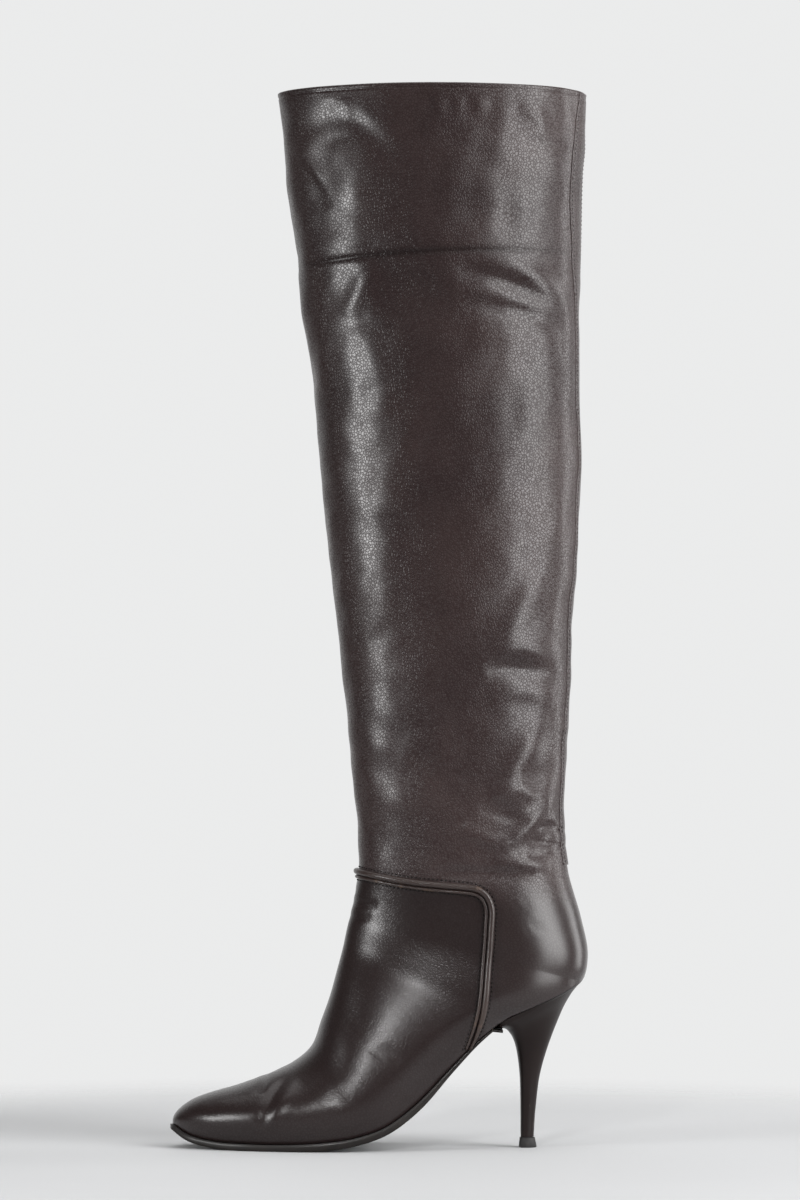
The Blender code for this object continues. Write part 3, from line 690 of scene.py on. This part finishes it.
def on_skin(path, offset, lift):
    """A path on the upper, moved sideways by offset and lifted off it, and the normals along it."""
    places = []
    normals = []
    for place, move in zip(path, np.gradient(path, axis=0)):
        normal = skin_tree.find_nearest(Vector(place))[1]
        across = Vector(move).cross(normal).normalized()
        foot, normal = skin_tree.find_nearest(Vector(place) + across * offset)[:2]
        places.append(foot)
        normals.append(normal)
    places, normals = eased(np.array(places), PIPING_EASE), eased(np.array(normals), PIPING_EASE)
    return places + normals * np.reshape(lift, (-1, 1)), normals


def tube(name, path, normals, radius, sides):
    """A round cord along a path."""
    ahead = np.gradient(path, axis=0)
    across = np.cross(ahead, normals)
    across /= np.linalg.norm(across, axis=1, keepdims=True)
    up = np.cross(across, ahead)
    up /= np.linalg.norm(up, axis=1, keepdims=True)
    turn = np.linspace(0, 2 * math.pi, sides + 1)[None, :, None]
    radius = np.reshape(radius, (-1, 1, 1))
    rings = path[:, None] + radius * (np.cos(turn) * across[:, None] + np.sin(turn) * up[:, None])
    faces = sheet_faces(*rings.shape[:2])[:, ::-1].tolist()
    first = list(range(sides))
    last = [(len(rings) - 1) * (sides + 1) + k for k in first]
    return make_piece(name, rings, faces + [first, last[::-1]])


PIPING_BROWN = (0.050, 0.033, 0.027, 1)
PIPING_DARK = (0.022, 0.014, 0.013, 1)
PIPING_WORN = (0.16, 0.10, 0.065, 1)
PIPING_TONE, PIPING_TONE_SHARE = Cloud(45.0, 3.0), 0.6
PIPING_LOW, PIPING_LOW_SHARE = Step(0.055, 0.10), 0.4
PIPING_WEAR, PIPING_WEAR_STEP, PIPING_WEAR_SHARE = Cloud(110.0, 4.0), Step(0.60, 0.74), 0.55
PIPING_GLOSS = Gloss(0.24, 0.12, Cloud(150.0, 3.0))
PIPING_GRAIN, PIPING_BUMP = 0.0008, Bump(0.3, 0.0001)
piping_leather = Finish("piping_leather")
piping_wear = piping_leather.ramp(piping_leather.cloud(PIPING_WEAR), *PIPING_WEAR_STEP)
piping_low = 1 - piping_leather.ramp(piping_leather.height(), *PIPING_LOW)
piping_tone = piping_leather.cloud(PIPING_TONE) * PIPING_TONE_SHARE + piping_low * PIPING_LOW_SHARE
piping_colour = piping_leather.mix(piping_tone, PIPING_DARK, PIPING_BROWN)
piping_finish = piping_leather.surface({
    "Base Color": piping_leather.mix(piping_wear * PIPING_WEAR_SHARE, piping_colour, PIPING_WORN),
    "Roughness": piping_leather.gloss(PIPING_GLOSS),
    "Normal": piping_leather.bump(pebbles(piping_leather, PIPING_GRAIN)[0], PIPING_BUMP),
})

front_ray = Vector((-RAY_START, 0, VAMP_EDGE[0].z)), Vector((1, 0, 0))
piping_path = piping_side(-1)[::-1] + [skin_tree.ray_cast(*front_ray)[0]] + piping_side(1)
piping_line = eased(even(piping_path, PIPING_STEP), PIPING_EASE)
stations = np.arange(len(piping_line))
end_distance = PIPING_STEP * np.minimum(stations, stations[::-1])
fullness = FLAT_SHARE + (1 - FLAT_SHARE) * smooth_step(0, FLAT_END, end_distance)
for k, cord in enumerate(CORDS):
    cord_line, cord_normals = on_skin(piping_line, cord.offset, (cord.radius - cord.sunk) * fullness)
    piece = tube(cord.name, cord_line, cord_normals, cord.radius * fullness, CORD_SIDES)
    piece.data.materials.append(piping_finish)
    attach(piece, "root")
    if k == 0:
        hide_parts("ankle_piping")

# Back stay: a strip of the upper's leather, sewn over the back seam from the collar to the counter.
# Its edges are cut and pressed down, and it wanders a little to the outer side near the collar.
Stay = namedtuple("Stay", "z centre")
STAY_LINE = (
    Stay(150.0, 0.2),
    Stay(300.0, 0.2),
    Stay(400.0, 0.5),
    Stay(440.0, 1.0),
    Stay(480.0, -5.5),
    Stay(530.0, -10.0),
    Stay(569.0, -3.5),
)
STAY_WIDTH = 20.0
STAY_FOOT_Z, STAY_TOP_Z, STAY_STEP = 152.0, COLLAR_Z - 0.2, 2.0
STAY_UNDER = -0.6
StayPoint = namedtuple("StayPoint", "side lift")
STAY_PROFILE = (
    StayPoint(-1.0, 0.05),
    StayPoint(-0.975, 0.4),
    StayPoint(-0.93, 0.66),
    StayPoint(-0.84, 0.78),
    StayPoint(-0.5, 0.85),
    StayPoint(0.0, 0.85),
)
STAY_SHARP = math.radians(60)
BESIDE_SEAM = 0.05


def on_back(y, z):
    """(place, normal) on the back of the upper, beside its seam, as a ray along the seam slips through."""
    beside = math.copysign(max(abs(y), BESIDE_SEAM), y)
    return skin_tree.ray_cast(Vector((RAY_START, beside, z)), Vector((-1, 0, 0)))[:2]


def closed_loft(name, rings):
    """A closed solid through rings of points, each ring given without its first point again at its end."""
    rings = np.array(rings)
    count = rings.shape[1]
    looped = np.concatenate([rings, rings[:, :1]], axis=1)
    faces = sheet_faces(*looped.shape[:2]).tolist()
    last = looped.shape[1] * (len(looped) - 1)
    faces += [list(range(count))[::-1], [last + k for k in range(count)]]
    piece = make_piece(name, looped, faces)
    bm = bmesh.new()
    bm.from_mesh(piece.data)
    bmesh.ops.recalc_face_normals(bm, faces=bm.faces)
    bm.to_mesh(piece.data)
    bm.free()
    piece.data.shade_smooth()
    return piece


stay_rings = []
stay_shape = list(STAY_PROFILE) + [StayPoint(-point.side, point.lift) for point in STAY_PROFILE[-2::-1]]
for z in np.arange(STAY_FOOT_Z, STAY_TOP_Z, STAY_STEP):
    centre = float(read(STAY_LINE, z)[0][0])
    top, base = [], []
    for point in stay_shape:
        place, normal = on_back(centre + point.side * STAY_WIDTH / 2, z)
        top.append(place + normal * point.lift)
        base.append(place + normal * STAY_UNDER)
    stay_rings.append(top + base[::-1])
back_stay = closed_loft("back_stay", stay_rings)
back_stay.data.set_sharp_from_angle(angle=STAY_SHARP)
# The stay has no vamp, counter or knee crease, so it takes none of their painted shade.
for key in ("vamp", "counter", "seam"):
    layer = back_stay.data.attributes.new(key, "FLOAT", "POINT")
    layer.data.foreach_set("value", np.zeros(len(back_stay.data.vertices), np.float32))
back_stay.data.materials.append(brown_leather.material)
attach(back_stay, "root")
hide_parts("back_stay")

# Stitches: rows of waxed thread beside both cords of the piping and along both edges of the back stay.
# Each stitch is a short bead of thread that dips into the leather at its ends.
STITCH_PITCH, STITCH_LENGTH, STITCH_RADIUS = 2.3, 1.4, 0.4
BEAD_SEGMENTS, BEAD_RINGS = 6, 5
PIPING_STITCH_OFFSETS, PIPING_STITCH_LIFT = (4.2, -3.0), 0.05
STAY_STITCH_INSET, STAY_STITCH_LIFT, STAY_STITCH_END, STAY_STITCH_EASE = 1.6, 0.6, 2.0, 2


def stitch_tree():
    """Node tree that lays stitches along edges: even beads, each turned along its row."""
    tree = bpy.data.node_groups.new("stitch_row", "GeometryNodeTree")
    tree.interface.new_socket("Geometry", in_out="INPUT", socket_type="NodeSocketGeometry")
    for name in ("Pitch", "Length", "Radius"):
        tree.interface.new_socket(name, in_out="INPUT", socket_type="NodeSocketFloat")
    tree.interface.new_socket("Thread", in_out="INPUT", socket_type="NodeSocketMaterial")
    tree.interface.new_socket("Geometry", in_out="OUTPUT", socket_type="NodeSocketGeometry")
    rows = Nodes(tree)
    given = rows.node("NodeGroupInput", output="Geometry")
    radius = given.other("Radius")
    curve = rows.node("GeometryNodeMeshToCurve", None, {"Mesh": given})
    spots = rows.node("GeometryNodeCurveToPoints", {"mode": "LENGTH"},
                      {"Curve": curve, "Length": given.other("Pitch")}, "Points")
    turned = rows.node("FunctionNodeAlignRotationToVector", {"axis": "X"}, {"Vector": spots.other("Tangent")})
    bead = rows.node("GeometryNodeMeshUVSphere", None,
                     {"Segments": BEAD_SEGMENTS, "Rings": BEAD_RINGS, "Radius": 1.0}, "Mesh")
    half_length = given.other("Length") * 0.5
    size = rows.node("ShaderNodeCombineXYZ", None, {"X": half_length, "Y": radius, "Z": radius})
    beads = rows.node("GeometryNodeInstanceOnPoints", None,
                      {"Points": spots, "Instance": bead, "Rotation": turned, "Scale": size})
    real = rows.node("GeometryNodeRealizeInstances", None, {"Geometry": beads})
    smooth = rows.node("GeometryNodeSetShadeSmooth", None, {"Geometry": real})
    dressed = rows.node("GeometryNodeSetMaterial", None,
                        {"Geometry": smooth, "Material": given.other("Thread")})
    rows.node("NodeGroupOutput", None, {"Geometry": dressed})
    return tree


def sew(name, paths, tree, sizes, thread):
    """Lays stitches along paths of points and returns them as one plain mesh object."""
    mesh = bpy.data.meshes.new(name + "_rows")
    points, edges = [], []
    for path in paths:
        start = len(points)
        points += [Vector(p) * MM for p in path]
        edges += [(start + k, start + k + 1) for k in range(len(path) - 1)]
    mesh.from_pydata(points, edges, [])
    rows = bpy.data.objects.new(name + "_rows", mesh)
    bpy.context.scene.collection.objects.link(rows)
    sewing = rows.modifiers.new("stitches", "NODES")
    sewing.node_group = tree
    names = {item.name: item.identifier for item in tree.interface.items_tree if item.in_out == "INPUT"}
    for key, value in sizes.items():
        sewing[names[key]] = value * MM
    sewing[names["Thread"]] = thread
    ready = rows.evaluated_get(bpy.context.evaluated_depsgraph_get())
    result = bpy.data.objects.new(name, bpy.data.meshes.new_from_object(ready))
    bpy.context.scene.collection.objects.link(result)
    rows.modifiers.clear()
    bpy.data.objects.remove(rows)
    return result


THREAD_DARK = (0.004, 0.003, 0.003, 1)
THREAD_LIGHT = (0.012, 0.008, 0.007, 1)
THREAD_TONE = Cloud(300.0, 2.0)
THREAD_GLOSS = Gloss(0.75, 0.15, Cloud(900.0, 2.0))
thread_finish = Finish("waxed_thread")
thread_material = thread_finish.surface({
    "Base Color": thread_finish.mix(thread_finish.cloud(THREAD_TONE), THREAD_DARK, THREAD_LIGHT),
    "Roughness": thread_finish.gloss(THREAD_GLOSS),
    "Specular IOR Level": 0.25,
})
stitch_paths = [on_skin(piping_line, offset, PIPING_STITCH_LIFT)[0] for offset in PIPING_STITCH_OFFSETS]
for side in (-1, 1):
    stay_path = []
    for z in np.arange(STAY_FOOT_Z + STAY_STITCH_END, STAY_TOP_Z - STAY_STITCH_END, STAY_STEP):
        centre = float(read(STAY_LINE, z)[0][0])
        place, normal = on_back(centre + side * (STAY_WIDTH / 2 - STAY_STITCH_INSET), z)
        stay_path.append(place + normal * STAY_STITCH_LIFT)
    stitch_paths.append(eased(np.array(stay_path), STAY_STITCH_EASE))
stitches = sew("stitches", stitch_paths, stitch_tree(),
               {"Pitch": STITCH_PITCH, "Length": STITCH_LENGTH, "Radius": STITCH_RADIUS}, thread_material)
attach(stitches, "root")

# Insole: a firm board with a leather sock over it. The upper and its lining are lasted to its edge.
# The solid has the right shape, so it stays and takes the lining's finish.
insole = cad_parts["insole"]
insole.data.materials.clear()
insole.data.materials.append(lining_leather.material)

# Outsole: one thin sheet of sole leather from the toe to the heel, glued on, with a black inked edge.
# It is flat under the ball, springs up at the toe, and is pared thin where it runs up to the heel.
Sole = namedtuple("Sole", "x thickness overhang")
OUTSOLE_TABLE = (
    Sole(-113.0, 2.4, 1.2),
    Sole(-100.0, 3.4, 1.3),
    Sole(-80.0, 4.0, 1.4),
    Sole(0.0, 4.0, 1.4),
    Sole(22.0, 3.6, 1.0),
    Sole(40.0, 2.4, 0.2),
    Sole(54.0, 1.6, -0.4),
    Sole(67.0, 1.2, -1.5),
)
SOLE_LEAVES_LAST_X = 60.5
SOLE_END_X, SOLE_END_Z = 66.4, 63.9
SOLE_STATIONS, SOLE_COLUMNS, SOLE_TIP_CLEAR = 130, 12, 0.02
SoleEdge = namedtuple("SoleEdge", "out drop")
SOLE_EDGE = (
    SoleEdge(0.35, 0.12),
    SoleEdge(0.5, 0.4),
    SoleEdge(0.45, 0.7),
    SoleEdge(0.15, 0.93),
    SoleEdge(-0.5, 1.0),
)
SOLE_ROUNDING, SOLE_ROUNDING_SHARE = 1.0, 0.25
SLOPE_STEP = 0.5
GAP = 0.3
SOLE_SHARP = math.radians(50)


def sole_level(x):
    """Height of the outsole's upper face."""
    x = np.atleast_1d(np.asarray(x, float))
    last_x = np.minimum(x, SOLE_LEAVES_LAST_X)
    z = bottom(last_x)[0] - GAP
    share = (x - last_x) / (SOLE_END_X - SOLE_LEAVES_LAST_X)
    return z + (SOLE_END_Z - z) * share


def spread(first, last, count):
    """Places from first to last that crowd towards both ends, where an outline is round."""
    return first + (last - first) * (1 - np.cos(math.pi * np.arange(count) / (count - 1))) / 2


def sole_ring(x):
    """One section of the outsole: its upper face, one edge, its lower face and the other edge."""
    thickness, overhang = (float(column[0]) for column in read(OUTSOLE_TABLE, x))
    _, centre, half = (float(column[0]) for column in bottom(x, overhang))
    level = float(sole_level(x)[0])
    slope = float((sole_level(x + SLOPE_STEP) - sole_level(x - SLOPE_STEP))[0]) / (2 * SLOPE_STEP)
    down_x, down_z = slope * thickness / math.hypot(slope, 1), -thickness / math.hypot(slope, 1)
    rounding = min(SOLE_ROUNDING, half * SOLE_ROUNDING_SHARE)
    across = np.linspace(-1, 1, SOLE_COLUMNS + 1)
    edge = [(half + point.out * rounding, point.drop) for point in SOLE_EDGE]
    flat = [(half * share, 0.0) for share in across]
    flat += edge
    flat += [(-edge[-1][0] * share, 1.0) for share in across[1:-1]]
    flat += [(-out, drop) for out, drop in edge[::-1]]
    return [(x + down_x * drop, centre + out, max(level + down_z * drop, 0.0)) for out, drop in flat]


toe_overhang = float(read(OUTSOLE_TABLE, TOE_TIP_X)[1][0])
sole_xs = spread(SOLE_END_X, TOE_TIP_X - toe_overhang + SOLE_TIP_CLEAR, SOLE_STATIONS)
outsole = closed_loft("outsole_leather", [sole_ring(x) for x in sole_xs])
outsole.data.set_sharp_from_angle(angle=SOLE_SHARP)

SOLE_BLACK = (0.006, 0.0055, 0.0055, 1)
SOLE_BROWN = (0.018, 0.014, 0.012, 1)
SOLE_SCUFF = (0.11, 0.085, 0.065, 1)
SOLE_TONE = Cloud(120.0, 3.0)
SOLE_SCUFFS, SOLE_SCUFFS_STEP, SOLE_SCUFFS_SHARE = Cloud(70.0, 6.0), Step(0.55, 0.75), 0.8
SOLE_DOWN, SOLE_UP = Step(-0.6, -0.95), Step(0.05, 0.5)
SOLE_GLOSS = Gloss(0.40, 0.2, Cloud(200.0, 3.0))
SOLE_FIBRES, SOLE_BUMP = Cloud(900.0, 4.0), Bump(0.2, 0.0002)
sole_leather = Finish("sole_leather")
sole_normal = sole_leather.node("ShaderNodeNewGeometry", output="Normal")
facing = sole_leather.node("ShaderNodeSeparateXYZ", None, {0: sole_normal}, "Z")
scuffs = sole_leather.ramp(sole_leather.cloud(SOLE_SCUFFS), *SOLE_SCUFFS_STEP)
scuff_share = scuffs * sole_leather.ramp(facing, *SOLE_DOWN) * SOLE_SCUFFS_SHARE
inked = sole_leather.mix(sole_leather.cloud(SOLE_TONE), SOLE_BLACK, SOLE_BROWN)
outsole.data.materials.append(sole_leather.surface({
    "Base Color": sole_leather.mix(scuff_share, inked, SOLE_SCUFF),
    "Roughness": sole_leather.gloss(SOLE_GLOSS),
    "Specular IOR Level": 0.2,
    "Coat Weight": sole_leather.ramp(facing, *SOLE_UP),
    "Coat Roughness": 0.3,
    "Normal": sole_leather.bump(sole_leather.cloud(SOLE_FIBRES), SOLE_BUMP),
}))
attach(outsole, "root")
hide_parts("outsole")

# Heel: a slender moulded core under the seat, covered with leather that is stretched round it and
# joined down the breast. It is screwed on from inside, through the insole.
Ring = namedtuple("Ring", "front_x front_z back_x back_z half front_power")
HEEL_RINGS = (
    Ring(62.0, 65.6, 108.9, 89.0, 26.8, 5.0),
    Ring(62.4, 64.6, 106.9, 87.0, 25.8, 5.0),
    Ring(67.2, 64.4, 104.2, 83.6, 23.2, 4.5),
    Ring(70.2, 61.8, 100.0, 76.6, 18.6, 4.0),
    Ring(72.2, 58.4, 95.8, 67.0, 14.4, 3.6),
    Ring(73.8, 53.4, 91.6, 56.0, 11.0, 3.3),
    Ring(75.0, 46.4, 88.6, 46.6, 8.6, 3.0),
    Ring(75.8, 38.0, 86.4, 37.6, 6.8, 3.0),
    Ring(76.1, 28.0, 85.1, 28.0, 5.6, 3.0),
    Ring(76.2, 17.0, 84.0, 17.0, 4.8, 3.0),
    Ring(76.2, 5.7, 83.3, 5.7, 4.4, 3.0),
)
RING_WIDEST, RING_BACK_POWER = 0.34, 2.05
RING_COLUMNS = 40
RING_STEPS = 6
HEEL_SHARP = math.radians(55)


def ring_points(ring, level=None):
    """One section of the heel, round from the middle of its breast. level, if given, sets the height."""
    turn = np.linspace(-math.pi, math.pi, 2 * RING_COLUMNS + 1)[:-1]
    along, out = half_section(np.abs(turn), ring.half, 0.0, RING_WIDEST, ring.front_power, RING_BACK_POWER)
    x = ring.front_x + (ring.back_x - ring.front_x) * along
    z = level(x) if level else ring.front_z + (ring.back_z - ring.front_z) * along
    return np.stack([x, np.sign(turn) * out, z], axis=1)


def ring_stack(table, steps):
    """Sections between a table's rings."""
    rows = np.array(table, float)
    moves = np.linalg.norm(np.diff(rows[:, :4], axis=0), axis=1)
    knots = np.concatenate([[0.0], np.cumsum(moves)])
    places = np.concatenate([np.linspace(a, b, steps, endpoint=False) for a, b in zip(knots, knots[1:])])
    return [ring_points(Ring(*row)) for row in through(knots, rows, np.append(places, knots[-1]))]


seat = ring_points(HEEL_RINGS[0], lambda x: bottom(x)[0] - GAP)
heel = closed_loft("heel_cover", [seat] + ring_stack(HEEL_RINGS[1:], RING_STEPS))
heel.data.set_sharp_from_angle(angle=HEEL_SHARP)

HEEL_DARK = (0.0095, 0.0066, 0.0064, 1)
HEEL_BROWN = (0.0165, 0.0115, 0.0108, 1)
HEEL_SCRATCH = (0.16, 0.14, 0.125, 1)
HEEL_TONE = Cloud(50.0, 3.0)
SCRATCHES, SCRATCHES_STEP, SCRATCHES_SHARE = Cloud(700.0, 2.0), Step(0.70, 0.76), 0.7
SCRATCHES_STRETCH = (1.0, 1.0, 0.16)
SCRATCHES_HEIGHT = Step(0.01, 0.05)
HEEL_GLOSS = Gloss(0.27, 0.12, Cloud(130.0, 3.0))
HEEL_GRAIN, HEEL_BUMP = 0.0008, Bump(0.15, 0.00012)
heel_leather = Finish("heel_leather")
stretched = heel_leather.node("ShaderNodeMapping", None,
                              {"Vector": heel_leather.place(), "Scale": SCRATCHES_STRETCH})
scratches = heel_leather.ramp(heel_leather.cloud(SCRATCHES, stretched), *SCRATCHES_STEP)
near_floor = 1 - heel_leather.ramp(heel_leather.height(), *SCRATCHES_HEIGHT)
heel_colour = heel_leather.mix(heel_leather.cloud(HEEL_TONE), HEEL_DARK, HEEL_BROWN)
heel.data.materials.append(heel_leather.surface({
    "Base Color": heel_leather.mix(scratches * near_floor * SCRATCHES_SHARE, heel_colour, HEEL_SCRATCH),
    "Roughness": heel_leather.gloss(HEEL_GLOSS),
    "Specular IOR Level": 0.13,
    "Normal": heel_leather.bump(pebbles(heel_leather, HEEL_GRAIN)[0], HEEL_BUMP),
}))
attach(heel, "root")
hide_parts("heel")

# Top lift: a small flared cap of hard rubber, pinned into the end of the heel.
# It walks on the floor, so its edge is scuffed.
TOP_LIFT_RINGS = (
    Ring(75.8, 5.4, 83.9, 5.4, 4.7, 3.0),
    Ring(75.5, 3.0, 84.4, 3.0, 4.9, 3.0),
    Ring(75.3, 0.6, 84.9, 0.6, 5.1, 3.0),
    Ring(75.6, 0.0, 84.6, 0.0, 4.8, 3.0),
)
LIFT_SHARP = math.radians(40)
top_lift = closed_loft("top_lift_rubber", [ring_points(ring) for ring in TOP_LIFT_RINGS])
top_lift.data.set_sharp_from_angle(angle=LIFT_SHARP)

LIFT_BLACK = (0.009, 0.008, 0.008, 1)
LIFT_GREY = (0.024, 0.022, 0.021, 1)
LIFT_SCUFFS, LIFT_SCUFFS_STEP = Cloud(500.0, 4.0), Step(0.5, 0.75)
LIFT_GLOSS = Gloss(0.55, 0.2, Cloud(800.0, 3.0))
LIFT_GRAIN, LIFT_BUMP = Cloud(1500.0, 3.0), Bump(0.2, 0.0002)
lift_rubber = Finish("lift_rubber")
lift_scuffs = lift_rubber.ramp(lift_rubber.cloud(LIFT_SCUFFS), *LIFT_SCUFFS_STEP)
top_lift.data.materials.append(lift_rubber.surface({
    "Base Color": lift_rubber.mix(lift_scuffs, LIFT_BLACK, LIFT_GREY),
    "Roughness": lift_rubber.gloss(LIFT_GLOSS),
    "Normal": lift_rubber.bump(lift_rubber.cloud(LIFT_GRAIN), LIFT_BUMP),
}))
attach(top_lift, "root")
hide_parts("top_lift")

# Floor: a round sheet of pale matt paper that lies under the boot. It is no part of the boot.
# It thins out towards its edge, so that it melts into the backdrop behind the boot.
FLOOR_RADIUS, FLOOR_FULL = 0.60, 0.27
FLOOR_SIDES = 96
FLOOR_TONE = (0.57, 0.575, 0.582, 1)
floor_turn = np.linspace(0, 2 * math.pi, FLOOR_SIDES, endpoint=False)
floor_points = np.stack([np.cos(floor_turn), np.sin(floor_turn), 0 * floor_turn], axis=1) * FLOOR_RADIUS / MM
floor = make_piece("floor", floor_points, [list(range(FLOOR_SIDES))])
paper = Finish("floor_paper")
from_middle = paper.node("ShaderNodeVectorMath", {"operation": "LENGTH"}, {0: paper.place()}, "Value")
floor.data.materials.append(paper.surface({
    "Base Color": FLOOR_TONE,
    "Roughness": 0.7,
    "Alpha": 1 - paper.ramp(from_middle, FLOOR_FULL, FLOOR_RADIUS),
}))

# Light: a pale backdrop behind and a dim room in front, a tall soft light on each side, one behind
# at the right edge and one overhead, and a narrow spot near the camera for the band along the vamp.
BACKDROP = (0.83, 0.835, 0.835, 1)
ROOM_STEP = Step(0.42, 0.93)
ROOM_DARK, ROOM_BRIGHT = 0.09, 0.9
SoftBox = namedtuple("SoftBox", "name place target width height power")
SOFT_BOXES = (
    SoftBox("left_light", (-1.39, -0.80, 0.34), (0.0, 0.0, 0.34), 0.40, 0.46, 13.5),
    SoftBox("right_light", (1.27, -0.79, 0.92), (0.02, 0.0, 0.92), 0.9, 2.06, 43.0),
    SoftBox("rim_light", (1.43, 0.46, 0.45), (0.05, 0.0, 0.30), 0.4, 1.3, 8.0),
    SoftBox("top_light", (0.0, 0.0, 2.2), (0.0, 0.0, 0.0), 2.4, 2.4, 32.0),
)
SPOT_PLACE, SPOT_TARGET = (-0.48, -2.16, 0.96), (-0.01, 0.0, 0.05)
SPOT_CONE, SPOT_BLEND, SPOT_RADIUS, SPOT_POWER = math.radians(7.0), 0.9, 0.16, 145.0


def hang(light, place, target, power):
    """Puts a light in its place, turned towards its target."""
    light.energy = power
    lamp = bpy.data.objects.new(light.name, light)
    lamp.location = place
    lamp.rotation_euler = (Vector(target) - Vector(place)).to_track_quat("-Z", "Y").to_euler()
    bpy.context.scene.collection.objects.link(lamp)


for box in SOFT_BOXES:
    panel = bpy.data.lights.new(box.name, "AREA")
    panel.shape = "RECTANGLE"
    panel.size, panel.size_y = box.width, box.height
    hang(panel, box.place, box.target, box.power)
spot = bpy.data.lights.new("vamp_spot", "SPOT")
spot.spot_size, spot.spot_blend, spot.shadow_soft_size = SPOT_CONE, SPOT_BLEND, SPOT_RADIUS
hang(spot, SPOT_PLACE, SPOT_TARGET, SPOT_POWER)

world = bpy.data.worlds.new("studio")
bpy.context.scene.world = world
world.use_nodes = True
sky = Nodes(world.node_tree)
direction = sky.node("ShaderNodeTexCoord", output="Generated")
behind = sky.node("ShaderNodeSeparateXYZ", None, {0: direction}, "Y")
room = sky.ramp(behind, *ROOM_STEP, ROOM_DARK, ROOM_BRIGHT)
seen = sky.node("ShaderNodeLightPath", output="Is Camera Ray")
background = world.node_tree.nodes["Background"]
background.inputs["Color"].default_value = BACKDROP
sky.join(background.inputs["Strength"], sky.node("ShaderNodeMix", None, {0: seen, 2: room, 3: 1.0}))

# Camera: level with the shin, far away with a long lens, and square to the boot's outer side.
# The lens gives the size of a pixel in the photograph at the boot's middle.
CAMERA_DISTANCE, CAMERA_HEIGHT, CAMERA_X = 2.78, 0.22, 0.0113
AIM_HEIGHT = 0.2948
METRES_PER_PIXEL = 0.00054
PHOTO_HEIGHT = 1200
camera_data = bpy.data.cameras.new("camera")
camera_data.sensor_fit = "AUTO"
camera_data.lens = CAMERA_DISTANCE / (METRES_PER_PIXEL * PHOTO_HEIGHT) * camera_data.sensor_width
camera = bpy.data.objects.new("camera", camera_data)
camera.location = (CAMERA_X, -CAMERA_DISTANCE, CAMERA_HEIGHT)
aim = Vector((CAMERA_X, 0, AIM_HEIGHT))
camera.rotation_euler = (aim - camera.location).to_track_quat("-Z", "Y").to_euler()
bpy.context.scene.collection.objects.link(camera)
bpy.context.scene.camera = camera
bpy.context.scene.view_settings.view_transform = "Standard"
